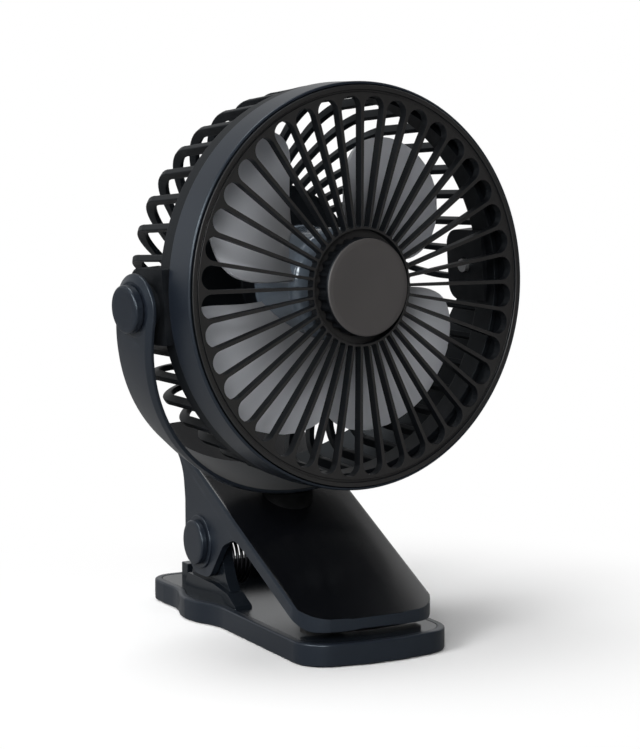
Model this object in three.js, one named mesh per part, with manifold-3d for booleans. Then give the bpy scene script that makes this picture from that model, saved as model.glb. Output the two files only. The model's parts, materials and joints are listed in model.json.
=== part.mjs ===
// Clip fan: a louvred fan head in a U-shaped yoke that swivels on the upper jaw of a sprung clip.
// Millimetres, +Z up, the front faces -Y. The origin is on the underside of the lower jaw.

import * as THREE from 'three';
import { mergeGeometries, mergeVertices } from 'three/addons/utils/BufferGeometryUtils.js';
import Module from 'manifold-3d';

const wasm = await Module();
wasm.setup();

const degrees = THREE.MathUtils.degToRad;

// ---------------------------------------------------------------- driving dimensions

const GAP = 0.3; // between two pieces that touch on the real object
const EPS = 0.5; // how far a cut runs past the face that it opens
const RING_SIDES = 56; // facets round the head and the yoke
const HUB_SIDES = 32; // round the hub, the cap and the rear cover
const ROUND_SIDES = 24; // round knobs, bosses and washers
const SMALL_SIDES = 12; // round shafts, pins and bores
const SCREW_SIDES = 8;

// Layout
const SWIVEL_LEAN = degrees(18.4); // swivel axis, leaning forward at its top
const SWIVEL_REST = degrees(7.7);
const TILT_REST = degrees(21);

// Head: the front bezel, the grille in it and the cage behind it
const BEZEL_RADIUS = 74;
const BEZEL_FRONT = -25.2;
const BEZEL_DEPTH = 13.2;
const BEZEL_LIP = 1;
const BEZEL_WALL = 3;
const GRILLE_PROUD = 0.6;
const GRILLE_DEPTH = 5;
const GRILLE_RIM = 1.6;
const SLOT_COUNT = 40;
const SLOT_MARGIN = 5.1; // from the outer face of the bezel to the end of a slot
const SLOT_BAR = 1.76; // least width of the bar between two slots
const SLOT_INNER = 21.6;
const SLOT_NARROW = 1.9; // width of a slot at its inner end
const CAP_RADIUS = 18;
const CAP_PROUD = 4.1;
const CAP_SPIGOT = 15;

const CAGE_RING_DEPTH = 7.1;
const CAGE_STEP = 0.7; // the cage lies this far inside the outer face of the bezel
const CAGE_RING_WALL = 4.4;
const CAGE_SPIGOT = 3.9;
const CAGE_STRAIGHT = 16; // straight run of a cage rib behind its ring
const CAGE_CORNER = 18; // radius where the ribs turn inward
const CAGE_RIB_COUNT = 40;
const CAGE_RIB_WIDTH = 2;
const CAGE_RIB_TUCK = 1.5; // how far a rib runs into the ring and the rear plate
const CAGE_RIB_DEPTH = 3.6;
const CAGE_SWIRL = 0.0224; // radians of swirl for each millimetre inward
const CAGE_DISH = 3; // how far the rear centre lies behind the corner
const REAR_PLATE_RADIUS = 25;
const REAR_PLATE_THICK = 2.6;

// Motor in the cup of the cage
const MOTOR_RADIUS = 13.6;
const MOTOR_LENGTH = 20;
const MOTOR_WALL = 0.7;
const MOTOR_CUP_WALL = 1.8;
const SHAFT_RADIUS = 1;
const BUSH_RADIUS = 3;
const BUSH_LENGTH = 2.6;
const ROTOR_RADIUS = 8.4;
const MAGNET_THICK = 2.6;

// Impeller
const BLADE_COUNT = 4;
const BLADE_CLEARANCE = 11; // from the tip of a blade to the outer face of the bezel
const BLADE_SPAN = degrees(31); // half of a blade's angle at its widest
const BLADE_RISE = 21; // from the leading edge to the trailing edge, along the axis
const BLADE_THICK = 1.5;
const BLADE_REST = degrees(30);
const HUB_RADIUS = 21;
const HUB_LENGTH = 25;
const HUB_WALL = 2;
const HUB_ROUND = 4;
const HUB_TO_GRILLE = 8.3;

// Button on the rear of the head
const BUTTON_RADIUS = 6;
const BUTTON_TRAVEL = 0.8;
const BUTTON_PROUD = 0.7;
const BUTTON_FLANGE = 1.5;
const REAR_COVER_THICK = 2.5;
const REAR_COVER_RADIUS = 23;
const BOARD_THICK = 1.2;
const SWITCH_SIZE = 6;
const SWITCH_HEIGHT = 3;
const LIGHT_RING_RADIUS = 9.6;
const LIGHT_RING_WIDTH = 1;
const LIGHT_RING_DEPTH = 1.5;

// Yoke
const YOKE_CLEARANCE = 1.027; // from the sweep of the head to the inner face
const YOKE_WALL = 2.8;
const YOKE_EDGE = 1.3; // thickness of the strap at its edges
const YOKE_WIDTH = 24.4;
const PIVOT_BOSS_STEP = 2; // how far the round boss stands out from its pad
const PIVOT_PAD_DEPTH = 15.2;
const PIVOT_PAD_HEIGHT = 27;
const PIVOT_BOSS_RADIUS = 8.4;
const WASHER_THICK = 1.2;
const TILT_AXLE_RADIUS = 2.6;
const TILT_AXLE_DEPTH = 10;
const TILT_HEAD_RADIUS = 5;
const TILT_HEAD_THICK = 1.6;
const TILT_KNOB_RADIUS = 8.6;
const TILT_KNOB_THICK = 3.2;

// Swivel stem between the yoke and the upper jaw
const STEM_RADIUS = 5.5;
const STEM_BORE = 3;
const STEM_TIP = 2.35; // below the spring clip
const SWIVEL_PAD_RADIUS = 12.2;
const SWIVEL_PAD_THICK = 0.6;
const SWIVEL_BOSS_RADIUS = 13;
const SWIVEL_BOSS_HEIGHT = 5.395; // above the sloping face, on the swivel axis
const SWIVEL_WASHER_RADIUS = 9.4;
const SWIVEL_WASHER_THICK = 1.2;
const SWIVEL_CLIP_THICK = 1.2;

// Clip: pivot and lower jaw
const PIVOT_Y = 46.6;
const PIVOT_Z = 29.3;
const PIN_RADIUS = 1.9;
const BASE_HALF_WIDTH = 30.7;
const BASE_EAR_HALF_WIDTH = 36.5;
const BASE_TAIL_HALF_WIDTH = 32.9;
const BASE_FRONT = -50.7;
const BASE_REAR = 86;
const BASE_FRONT_BOW = 71.4; // radius of the bowed front edge
const BASE_CORNER = 12;
const BASE_TAIL_CORNER = 9;
const BASE_THICK = 8.6;
const BASE_EDGE = 1.2;
const FOOT_PROUD = 0.3;
const FOOT_THICK = 1.6;
const FOOT_INSET = 6;
const FRAME_INSET = 2.6;
const FRAME_THICK = 2.6;
const FRAME_PROUD = 0.3;
const EAR_THICK = 4.6;
const EAR_RADIUS = 11.5;
const PEDESTAL_HEIGHT = 6.1;
const PEDESTAL_THICK = 2.5; // how far the pedestal stands out beyond the ear
const STOP_Y = 65;
const STOP_LENGTH = 5.5;
const STOP_HEIGHT = 8;

// Clip: upper jaw
const JAW_HALF_WIDTH = 28.3;
const JAW_WALL = 2.5;
const JAW_SLOPE = degrees(24.7);
const JAW_LEVEL = 35.6; // height of the sloping face above the origin
const JAW_FRONT = -40.3;
const JAW_TAIL = 79;
const JAW_BORDER = 6.4; // thickness of the sloping edge above the side window
const JAW_PLATE = 2.6;
const JAW_EDGE = 1.4;
const JAW_CORNER = 10;
const JAW_FOOT_RADIUS = 12.8; // rounded lower end of a side wall
const JAW_LIP_Z = 12.6;
const WEB_Y = 57.6; // front face of the web that closes the rear, above the hinge ears
const WEB_Z = 40;
const ARCH_Y = 20.2;
const ARCH_DEPTH = 10.4; // top of the arch below the sloping face
const GRIP_PAD_FRONT = -37.5;
const GRIP_PAD_LENGTH = 9;
const GRIP_PAD_HALF_WIDTH = 24;
const CLIP_BOSS_RADIUS = 10.3;
const CLIP_BOSS_PROUD = 0.8;
const CLIP_KNOB_RADIUS = 8.6;
const CLIP_KNOB_THICK = 2.4;

// Battery and charging inlet in the upper jaw, along the slope
const BATTERY_LENGTH = 33;
const BATTERY_WIDTH = 36;
const BATTERY_THICK = 6.2;
const BATTERY_START = -17;
const TRAY_WALL = 1.3;
const CHARGE_BOARD_LENGTH = 17;
const CHARGE_BOARD_WIDTH = 22;
const SOCKET_LENGTH = 7.4;
const SOCKET_WIDTH = 9;
const SOCKET_HEIGHT = 3.2;
const SOCKET_WALL = 0.5;

// Torsion spring on the clip pin
const SPRING_WIRE = 1.3;
const SPRING_RADIUS = 10.15; // to the middle of the wire
const SPRING_TURNS = 4;
const SPRING_PITCH = 1.8;
const SPRING_START_X = -19.5;
const SPRING_LEG = 16.5;
const SPRING_UPPER_LEG = 21;
const SPRING_UPPER_ANGLE = degrees(130);
const SPRING_STEPS = 8; // in one turn
const SPRING_SIDES = 5;

// Screws
const SCREW_HEAD_RADIUS = 2.2;
const SCREW_HEAD_THICK = 1.2;
const SCREW_SHANK_RADIUS = 1.1;
const SCREW_LENGTH = 5;

// ---------------------------------------------------------------- derived places

const BEZEL_REAR = BEZEL_FRONT + BEZEL_DEPTH;
const GRILLE_FRONT = BEZEL_FRONT - GRILLE_PROUD;
const GRILLE_FACE = GRILLE_FRONT + 0.4;
const GRILLE_BACK = GRILLE_FACE + GRILLE_DEPTH;
const GRILLE_RADIUS = BEZEL_RADIUS - BEZEL_LIP - GAP;
const SLOT_OUTER = BEZEL_RADIUS - SLOT_MARGIN;
const SLOT_PITCH = (2 * Math.PI) / SLOT_COUNT;
const SLOT_END_RADIUS = (SLOT_OUTER * SLOT_PITCH - SLOT_BAR) / (2 + SLOT_PITCH); // its rounded outer end
const CAGE_RADIUS = BEZEL_RADIUS - CAGE_STEP;
const CAGE_FRONT = BEZEL_REAR + GAP;
const CAGE_RING_REAR = CAGE_FRONT + CAGE_RING_DEPTH;
const CORNER_Y = CAGE_RING_REAR + CAGE_STRAIGHT;
const CORNER_REAR = CORNER_Y + CAGE_CORNER;
const PLATE_REAR = CORNER_REAR + CAGE_DISH;
const PLATE_FRONT = PLATE_REAR - REAR_PLATE_THICK;
const CUP_INNER = MOTOR_RADIUS + GAP;
const REAR_COVER_FRONT = PLATE_REAR + GAP;
const REAR_COVER_BACK = REAR_COVER_FRONT + REAR_COVER_THICK;
const BUTTON_FLANGE_BACK = REAR_COVER_FRONT - GAP;
const BUTTON_FOOT = BUTTON_FLANGE_BACK - 0.6;
const SWITCH_BACK = BUTTON_FOOT - BUTTON_TRAVEL - GAP;
const BOARD_BACK = SWITCH_BACK - SWITCH_HEIGHT - GAP;
const MOTOR_REAR = BOARD_BACK - BOARD_THICK - GAP;
const MOTOR_FRONT = MOTOR_REAR - MOTOR_LENGTH;
const HUB_FRONT = GRILLE_BACK + HUB_TO_GRILLE;
const BLADE_TIP = BEZEL_RADIUS - BLADE_CLEARANCE;

const YOKE_RADIUS = Math.hypot(BEZEL_RADIUS, BEZEL_FRONT) + YOKE_CLEARANCE;
const ARM_OUTER = YOKE_RADIUS + YOKE_WALL;
const HALF_YOKE = YOKE_WIDTH / 2;
const WASHER_OUTER = YOKE_RADIUS - GAP;
const PIVOT_BOSS_REACH = WASHER_OUTER - WASHER_THICK - GAP;
const PIVOT_PAD_REACH = PIVOT_BOSS_REACH - PIVOT_BOSS_STEP;

// The swivel axis starts at the centre of the head and leaves it downwards, at this angle to the square
// of the sloping face. The height of the head follows from what stands between them.
const SWIVEL_TO_SQUARE = JAW_SLOPE - SWIVEL_LEAN;
const SWIVEL_BOSS_TOP = -ARM_OUTER - SWIVEL_PAD_THICK - GAP;
const HEAD_TO_FACE = (SWIVEL_BOSS_HEIGHT - SWIVEL_BOSS_TOP) * Math.cos(SWIVEL_TO_SQUARE);
const HEAD_HEIGHT = JAW_LEVEL + HEAD_TO_FACE / Math.cos(JAW_SLOPE); // tilt axis above the surface
const WASHER_DROP = JAW_PLATE + SWIVEL_WASHER_RADIUS * Math.sin(SWIVEL_TO_SQUARE);
const SWIVEL_WASHER_TOP = -(HEAD_TO_FACE + WASHER_DROP) / Math.cos(SWIVEL_TO_SQUARE) - GAP;
const SWIVEL_CLIP_TOP = SWIVEL_WASHER_TOP - SWIVEL_WASHER_THICK - GAP;
const STEM_END = SWIVEL_CLIP_TOP - SWIVEL_CLIP_THICK - STEM_TIP;

const TRAY_TOP = BASE_THICK - FRAME_THICK + FRAME_PROUD;
const FRAME_BOTTOM = TRAY_TOP + GAP;
const FRAME_TOP = FRAME_BOTTOM + FRAME_THICK;
const EAR_OUTER = JAW_HALF_WIDTH - JAW_WALL - 2 * GAP;
const EAR_INNER = EAR_OUTER - EAR_THICK;
const PAD_BOTTOM = FRAME_TOP + GAP;

// ---------------------------------------------------------------- geometry helpers

/** A closed geometry with shared vertices, no slivers of zero area, and its faces pointing out. */
function closed(geometry) {
  const bare = geometry.clone();
  for (const name of Object.keys(bare.attributes)) {
    if (name !== 'position') {
      bare.deleteAttribute(name);
    }
  }
  const merged = mergeVertices(bare, 1e-4);
  const source = merged.index.array;
  const kept = [];
  for (let i = 0; i < source.length; i += 3) {
    const [a, b, c] = [source[i], source[i + 1], source[i + 2]];
    if (a !== b && b !== c && c !== a) {
      kept.push(a, b, c);
    }
  }
  merged.setIndex(kept);
  return signedVolume(merged) < 0 ? flipped(merged) : merged;
}

function signedVolume(geometry) {
  const position = geometry.attributes.position;
  const index = geometry.index.array;
  const [a, b, c] = [new THREE.Vector3(), new THREE.Vector3(), new THREE.Vector3()];
  let sum = 0;
  for (let i = 0; i < index.length; i += 3) {
    a.fromBufferAttribute(position, index[i]);
    b.fromBufferAttribute(position, index[i + 1]);
    c.fromBufferAttribute(position, index[i + 2]);
    sum += a.dot(b.cross(c)) / 6;
  }
  return sum;
}

function flipped(geometry) {
  const index = Array.from(geometry.index.array);
  for (let i = 0; i < index.length; i += 3) {
    [index[i + 1], index[i + 2]] = [index[i + 2], index[i + 1]];
  }
  geometry.setIndex(index);
  return geometry;
}

function solid(geometry) {
  const mesh = closed(geometry);
  return new wasm.Manifold(
    new wasm.Mesh({
      numProp: 3,
      vertProperties: new Float32Array(mesh.attributes.position.array),
      triVerts: new Uint32Array(mesh.index.array),
    }),
  );
}

function geometryOf(manifold) {
  const mesh = manifold.getMesh();
  const geometry = new THREE.BufferGeometry();
  geometry.setAttribute('position', new THREE.BufferAttribute(new Float32Array(mesh.vertProperties), 3));
  geometry.setIndex(Array.from(mesh.triVerts));
  return geometry;
}

function joined(...geometries) {
  return geometryOf(geometries.map(solid).reduce((sum, next) => sum.add(next)));
}

function cut(geometry, ...tools) {
  return geometryOf(tools.map(solid).reduce((rest, tool) => rest.subtract(tool), solid(geometry)));
}

function common(geometry, ...others) {
  return geometryOf(others.map(solid).reduce((rest, other) => rest.intersect(other), solid(geometry)));
}

/** Several separate solids as one geometry. */
function group(geometries) {
  return mergeGeometries(geometries.map(closed));
}

/** A solid of revolution about Y from [radius, y] pairs. The outline closes on itself. */
function turned(profile, sides) {
  const points = profile.map(([radius, y]) => new THREE.Vector2(radius, y));
  points.push(points[0].clone());
  return closed(new THREE.LatheGeometry(points, sides));
}

/** The same, about X, for pins, knobs and washers of the hinges. */
function turnedX(profile, sides) {
  return turned(profile, sides).rotateZ(-Math.PI / 2);
}

/** The same, about Z. */
function turnedZ(profile, sides) {
  return turned(profile, sides).rotateX(Math.PI / 2);
}

function disc(radius, from, to, sides = 32) {
  return turned([[0, from], [radius, from], [radius, to], [0, to]], sides);
}

function discX(radius, from, to, sides = 32) {
  return disc(radius, from, to, sides).rotateZ(-Math.PI / 2);
}

function discZ(radius, from, to, sides = 32) {
  return disc(radius, from, to, sides).rotateX(Math.PI / 2);
}

function ring(inner, outer, from, to, sides = 32) {
  return turned([[inner, from], [outer, from], [outer, to], [inner, to]], sides);
}

function box(x, y, z) {
  const size = [x, y, z].map(([low, high]) => high - low);
  const middle = [x, y, z].map(([low, high]) => (low + high) / 2);
  return new THREE.BoxGeometry(...size).translate(...middle);
}

function extruded(shape, depth, options = {}) {
  return new THREE.ExtrudeGeometry(shape, { depth, bevelEnabled: false, curveSegments: 6, ...options });
}

/** Extrudes a side profile, drawn in (y, z), from one x to another. */
function alongX(shape, from, to, options) {
  const turn = new THREE.Matrix4().makeBasis(
    new THREE.Vector3(0, 1, 0),
    new THREE.Vector3(0, 0, 1),
    new THREE.Vector3(1, 0, 0),
  );
  return extruded(shape, to - from, options).applyMatrix4(turn).translate(from, 0, 0);
}

/** Extrudes a plan, drawn in (x, y), from one height to another. */
function alongZ(shape, from, to, options) {
  return extruded(shape, to - from, options).translate(0, 0, from);
}

/** Extrudes a front view, drawn in (x, z), from one y to another. */
function alongY(shape, from, to, options) {
  return extruded(shape, to - from, options).rotateX(Math.PI / 2).translate(0, to, 0);
}

function polygon(points) {
  return new THREE.Shape(points.map(([x, y]) => new THREE.Vector2(x, y)));
}

function mirrored(geometry) {
  const other = geometry.clone().scale(-1, 1, 1);
  return closed(other);
}

/** Both the piece at +X and its mirror image at -X. */
function pair(geometry) {
  return [closed(geometry), mirrored(closed(geometry))];
}

/** A closed skin over equal rings of points, with a fan at each end. */
function skinned(rings) {
  const sides = rings[0].length;
  const points = rings.flat();
  const index = [];
  for (let i = 0; i + 1 < rings.length; i += 1) {
    for (let j = 0; j < sides; j += 1) {
      const [a, b] = [i * sides + j, i * sides + ((j + 1) % sides)];
      index.push(a, b, a + sides, b, b + sides, a + sides);
    }
  }
  const last = (rings.length - 1) * sides;
  for (let j = 1; j + 1 < sides; j += 1) {
    index.push(0, j + 1, j, last, last + j, last + j + 1);
  }
  const geometry = new THREE.BufferGeometry();
  const flat = points.flatMap((point) => point.toArray());
  geometry.setAttribute('position', new THREE.Float32BufferAttribute(flat, 3));
  geometry.setIndex(index);
  return closed(geometry);
}

function mesh(name, geometry, material) {
  const piece = new THREE.Mesh(closed(geometry), material);
  piece.name = name;
  return piece;
}

function finish(color, roughness, metalness = 0) {
  return new THREE.MeshStandardMaterial({ color, roughness, metalness });
}

const finishes = {
  satinBlack: () => finish(0x24282e, 0.45),
  warmBlack: () => finish(0x33312f, 0.55),
  glossBlack: () => finish(0x08090b, 0.15),
  greyGloss: () => finish(0x4a4e54, 0.3),
  rubber: () => finish(0x141414, 0.85),
  smoke: () => finish(0x6c6f75, 0.25),
  steel: () => finish(0xb4b7bb, 0.3, 1),
  darkSteel: () => finish(0x2c2d30, 0.35, 1),
  bronze: () => finish(0x9a6b35, 0.4, 1),
  copper: () => finish(0xb06a3a, 0.35, 1),
  board: () => finish(0x1c5a38, 0.5),
  foil: () => finish(0xa9acb0, 0.45),
  clear: () => finish(0xe8edf0, 0.2),
};

function screw(length = SCREW_LENGTH) {
  return turned(
    [
      [0, 0],
      [SCREW_HEAD_RADIUS, 0],
      [SCREW_HEAD_RADIUS, SCREW_HEAD_THICK],
      [SCREW_SHANK_RADIUS, SCREW_HEAD_THICK],
      [SCREW_SHANK_RADIUS, length],
      [0, length],
    ],
    SCREW_SIDES,
  );
}

// ---------------------------------------------------------------- head

function frontBezel() {
  const inner = BEZEL_RADIUS - BEZEL_WALL;
  const seat = GRILLE_BACK + GAP;
  return turned(
    [
      [BEZEL_RADIUS - BEZEL_LIP, BEZEL_FRONT],
      [BEZEL_RADIUS - 0.5, BEZEL_FRONT],
      [BEZEL_RADIUS, BEZEL_FRONT + 0.8],
      [BEZEL_RADIUS, BEZEL_REAR],
      [inner, BEZEL_REAR],
      [inner, seat],
      [BEZEL_RADIUS - BEZEL_LIP, seat],
    ],
    RING_SIDES,
  );
}

/** One long slot, wide and round outside, narrow inside, drawn along +Z of the head. */
function slotShape() {
  const outer = SLOT_OUTER - SLOT_END_RADIUS;
  const inner = SLOT_INNER;
  const lean = Math.asin((SLOT_END_RADIUS - SLOT_NARROW / 2) / (outer - inner));
  const shape = new THREE.Shape();
  shape.absarc(0, outer, SLOT_END_RADIUS, -lean, Math.PI + lean, false);
  shape.lineTo(-SLOT_NARROW / 2, inner);
  shape.lineTo(SLOT_NARROW / 2, inner);
  return shape;
}

function frontGrille() {
  const groove = GRILLE_RADIUS - GRILLE_RIM;
  const inner = CAP_SPIGOT + GAP;
  const body = turned(
    [
      [inner, GRILLE_FACE],
      [groove - 0.8, GRILLE_FACE],
      [groove - 0.4, GRILLE_FACE + 0.6],
      [groove, GRILLE_FRONT],
      [GRILLE_RADIUS - 0.4, GRILLE_FRONT],
      [GRILLE_RADIUS, GRILLE_FRONT + 0.4],
      [GRILLE_RADIUS, GRILLE_BACK],
      [inner, GRILLE_BACK],
    ],
    RING_SIDES,
  );
  const slots = [];
  const shape = slotShape();
  for (let i = 0; i < SLOT_COUNT; i += 1) {
    const slot = alongY(shape, GRILLE_FACE - EPS, GRILLE_BACK + EPS, { curveSegments: 2 });
    slots.push(slot.rotateY(SLOT_PITCH * (i + 0.5)));
  }
  return cut(body, group(slots));
}

function frontCap() {
  const back = GRILLE_FACE - GAP;
  const face = GRILLE_FACE - CAP_PROUD;
  return turned(
    [
      [0, face],
      [CAP_RADIUS - 1.4, face],
      [CAP_RADIUS, face + 1.2],
      [CAP_RADIUS, back],
      [CAP_SPIGOT, back],
      [CAP_SPIGOT, GRILLE_BACK],
      [0, GRILLE_BACK],
    ],
    HUB_SIDES,
  );
}

/** Outer line of the cage at a share of the way from its ring to the rear plate: radius, y and normal. */
function cageLine() {
  const points = [];
  const straight = CORNER_Y;
  points.push({ radius: CAGE_RADIUS, y: CAGE_RING_REAR - CAGE_RIB_TUCK, nr: 1, ny: 0 });
  points.push({ radius: CAGE_RADIUS, y: straight, nr: 1, ny: 0 });
  const corner = 3;
  for (let i = 1; i <= corner; i += 1) {
    const turn = (Math.PI / 2) * (i / corner);
    points.push({
      radius: CAGE_RADIUS - CAGE_CORNER * (1 - Math.cos(turn)),
      y: straight + CAGE_CORNER * Math.sin(turn),
      nr: Math.cos(turn),
      ny: Math.sin(turn),
    });
  }
  const flat = 3;
  const from = CAGE_RADIUS - CAGE_CORNER;
  const to = REAR_PLATE_RADIUS - CAGE_RIB_TUCK;
  for (let i = 1; i <= flat; i += 1) {
    const share = i / flat;
    points.push({
      radius: from + (to - from) * share,
      y: CORNER_REAR + (CAGE_DISH - 0.4) * Math.sin((Math.PI / 2) * share),
      nr: 0,
      ny: 1,
    });
  }
  return points;
}

/** A cage rib: straight back from the ring, round the corner, then swirling in to the rear plate. */
function cageRib(start) {
  const line = cageLine();
  const spots = line.map(({ radius, y, nr, ny }) => {
    const angle = start + CAGE_SWIRL * (CAGE_RADIUS - radius);
    return {
      point: new THREE.Vector3(radius * Math.cos(angle), y, radius * Math.sin(angle)),
      normal: new THREE.Vector3(nr * Math.cos(angle), ny, nr * Math.sin(angle)),
    };
  });
  const rings = spots.map(({ point, normal }, i) => {
    const before = spots[Math.max(i - 1, 0)].point;
    const after = spots[Math.min(i + 1, spots.length - 1)].point;
    const along = new THREE.Vector3().subVectors(after, before).normalize();
    const side = new THREE.Vector3().crossVectors(along, normal).normalize();
    const depth = new THREE.Vector3().crossVectors(side, along).normalize();
    const corner = (across, inward) =>
      point
        .clone()
        .addScaledVector(side, (across * CAGE_RIB_WIDTH) / 2)
        .addScaledVector(depth, -inward * CAGE_RIB_DEPTH);
    return [corner(-1, 0), corner(1, 0), corner(1, 1), corner(-1, 1)];
  });
  return skinned(rings);
}

/** The pad at the end of the tilt axis, with the round boss that the washer bears on. */
function pivotPad() {
  const shape = new THREE.Shape();
  const inner = CAGE_RADIUS - CAGE_RING_WALL - CAGE_RIB_TUCK;
  const [front, half] = [CAGE_FRONT + 0.6, PIVOT_PAD_HEIGHT / 2];
  const rear = CAGE_RING_REAR + PIVOT_PAD_DEPTH;
  shape.moveTo(front, -half);
  shape.lineTo(rear - 5, -half);
  shape.quadraticCurveTo(rear, -half, rear, -half + 6);
  shape.lineTo(rear, half - 6);
  shape.quadraticCurveTo(rear, half, rear - 5, half);
  shape.lineTo(front, half);
  const pad = alongX(shape, inner, PIVOT_PAD_REACH, { curveSegments: 3 });
  const boss = discX(PIVOT_BOSS_RADIUS, inner, PIVOT_BOSS_REACH, ROUND_SIDES);
  const bore = discX(TILT_AXLE_RADIUS + GAP, inner - EPS, PIVOT_BOSS_REACH + EPS, SMALL_SIDES);
  return cut(joined(pad, boss), bore);
}

function rearCage() {
  const inner = CAGE_RADIUS - CAGE_RING_WALL;
  const spigot = BEZEL_RADIUS - BEZEL_WALL - GAP;
  const rim = turned(
    [
      [CAGE_RADIUS, CAGE_FRONT],
      [CAGE_RADIUS, CAGE_RING_REAR],
      [inner, CAGE_RING_REAR],
      [inner, CAGE_FRONT - CAGE_SPIGOT],
      [spigot, CAGE_FRONT - CAGE_SPIGOT],
      [spigot, CAGE_FRONT],
    ],
    RING_SIDES,
  );
  const ribs = [];
  for (let i = 0; i < CAGE_RIB_COUNT; i += 1) {
    ribs.push(cageRib((2 * Math.PI * (i + 0.5)) / CAGE_RIB_COUNT));
  }
  const cupOuter = CUP_INNER + MOTOR_CUP_WALL;
  const hub = turned(
    [
      [CUP_INNER, MOTOR_FRONT + 1],
      [cupOuter, MOTOR_FRONT + 1],
      [cupOuter, PLATE_FRONT],
      [REAR_PLATE_RADIUS, PLATE_FRONT],
      [REAR_PLATE_RADIUS, PLATE_REAR - 0.8],
      [REAR_PLATE_RADIUS - 0.8, PLATE_REAR],
      [CUP_INNER, PLATE_REAR],
    ],
    HUB_SIDES,
  );
  return joined(rim, hub, ...pair(pivotPad()), ...ribs);
}

function rearCover() {
  const hole = BUTTON_RADIUS + GAP + 0.1;
  const grooveIn = LIGHT_RING_RADIUS - LIGHT_RING_WIDTH - GAP;
  const grooveOut = LIGHT_RING_RADIUS + GAP;
  const grooveFloor = REAR_COVER_BACK - LIGHT_RING_DEPTH;
  return turned(
    [
      [hole, REAR_COVER_FRONT],
      [REAR_COVER_RADIUS, REAR_COVER_FRONT],
      [REAR_COVER_RADIUS, REAR_COVER_BACK - 1.2],
      [REAR_COVER_RADIUS - 1.2, REAR_COVER_BACK],
      [grooveOut, REAR_COVER_BACK],
      [grooveOut, grooveFloor],
      [grooveIn, grooveFloor],
      [grooveIn, REAR_COVER_BACK],
      [hole, REAR_COVER_BACK],
    ],
    ROUND_SIDES,
  );
}

function lightRing() {
  const front = REAR_COVER_BACK - LIGHT_RING_DEPTH + GAP;
  return ring(LIGHT_RING_RADIUS - LIGHT_RING_WIDTH, LIGHT_RING_RADIUS, front, REAR_COVER_BACK, ROUND_SIDES);
}

function controlBoard() {
  return disc(MOTOR_RADIUS, BOARD_BACK - BOARD_THICK, BOARD_BACK, ROUND_SIDES);
}

function switchBlock() {
  const half = SWITCH_SIZE / 2;
  return box([-half, half], [BOARD_BACK + GAP, SWITCH_BACK], [-half, half]);
}

function powerButton() {
  const crown = REAR_COVER_BACK + BUTTON_PROUD;
  return turned(
    [
      [0, BUTTON_FOOT],
      [BUTTON_RADIUS + BUTTON_FLANGE, BUTTON_FOOT],
      [BUTTON_RADIUS + BUTTON_FLANGE, BUTTON_FLANGE_BACK],
      [BUTTON_RADIUS, BUTTON_FLANGE_BACK],
      [BUTTON_RADIUS, crown - 0.6],
      [BUTTON_RADIUS - 0.8, crown],
      [0, crown],
    ],
    ROUND_SIDES,
  );
}

function motorCan() {
  const inner = MOTOR_RADIUS - MOTOR_WALL;
  const nose = BUSH_RADIUS + GAP;
  return turned(
    [
      [nose, MOTOR_FRONT],
      [MOTOR_RADIUS - 1, MOTOR_FRONT],
      [MOTOR_RADIUS, MOTOR_FRONT + 1],
      [MOTOR_RADIUS, MOTOR_REAR],
      [inner, MOTOR_REAR],
      [inner, MOTOR_FRONT + 1.4],
      [nose, MOTOR_FRONT + 1.4],
    ],
    ROUND_SIDES,
  );
}

function motorBush(from) {
  return ring(SHAFT_RADIUS + GAP + 0.05, BUSH_RADIUS, from, from + BUSH_LENGTH, SMALL_SIDES);
}

function motorEndCap() {
  const outer = MOTOR_RADIUS - MOTOR_WALL - GAP;
  return ring(BUSH_RADIUS + GAP, outer, MOTOR_REAR - BUSH_LENGTH, MOTOR_REAR - 0.2, ROUND_SIDES);
}

function motorMagnet() {
  const outer = MOTOR_RADIUS - MOTOR_WALL - GAP;
  const inner = outer - MAGNET_THICK;
  const reach = degrees(62);
  const shape = new THREE.Shape();
  shape.absarc(0, 0, outer, -reach, reach, false);
  shape.absarc(0, 0, inner, reach, -reach, true);
  return alongY(shape, MOTOR_FRONT + 3, MOTOR_REAR - BUSH_LENGTH - 1.5);
}

function motorRotor() {
  const slots = [];
  const front = MOTOR_FRONT + BUSH_LENGTH + 1.4;
  const back = MOTOR_REAR - BUSH_LENGTH - 2.5;
  const body = ring(SHAFT_RADIUS + GAP + 0.05, ROTOR_RADIUS, front, back, ROUND_SIDES);
  const slotCount = 3;
  const slotWidth = 2;
  for (let i = 0; i < slotCount; i += 1) {
    const across = [-slotWidth / 2, slotWidth / 2];
    const slot = box(across, [MOTOR_FRONT, MOTOR_REAR], [ROTOR_RADIUS / 2, ROTOR_RADIUS + EPS]);
    slots.push(slot.rotateY((2 * Math.PI * i) / slotCount));
  }
  return cut(body, group(slots));
}

function motorShaft() {
  return disc(SHAFT_RADIUS, HUB_FRONT + HUB_WALL + GAP, MOTOR_REAR - 0.4, SMALL_SIDES);
}

// ---------------------------------------------------------------- impeller

/** Half of the blade's angle at a share of the way from the hub to the tip: broad, with round corners. */
function bladeHalfAngle(share) {
  const round = Math.sqrt(Math.max(1 - Math.max((share - 0.55) / 0.47, 0) ** 2.4, 0.02));
  return BLADE_SPAN * (0.86 + 0.14 * Math.sin(Math.PI * share)) * round;
}

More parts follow.
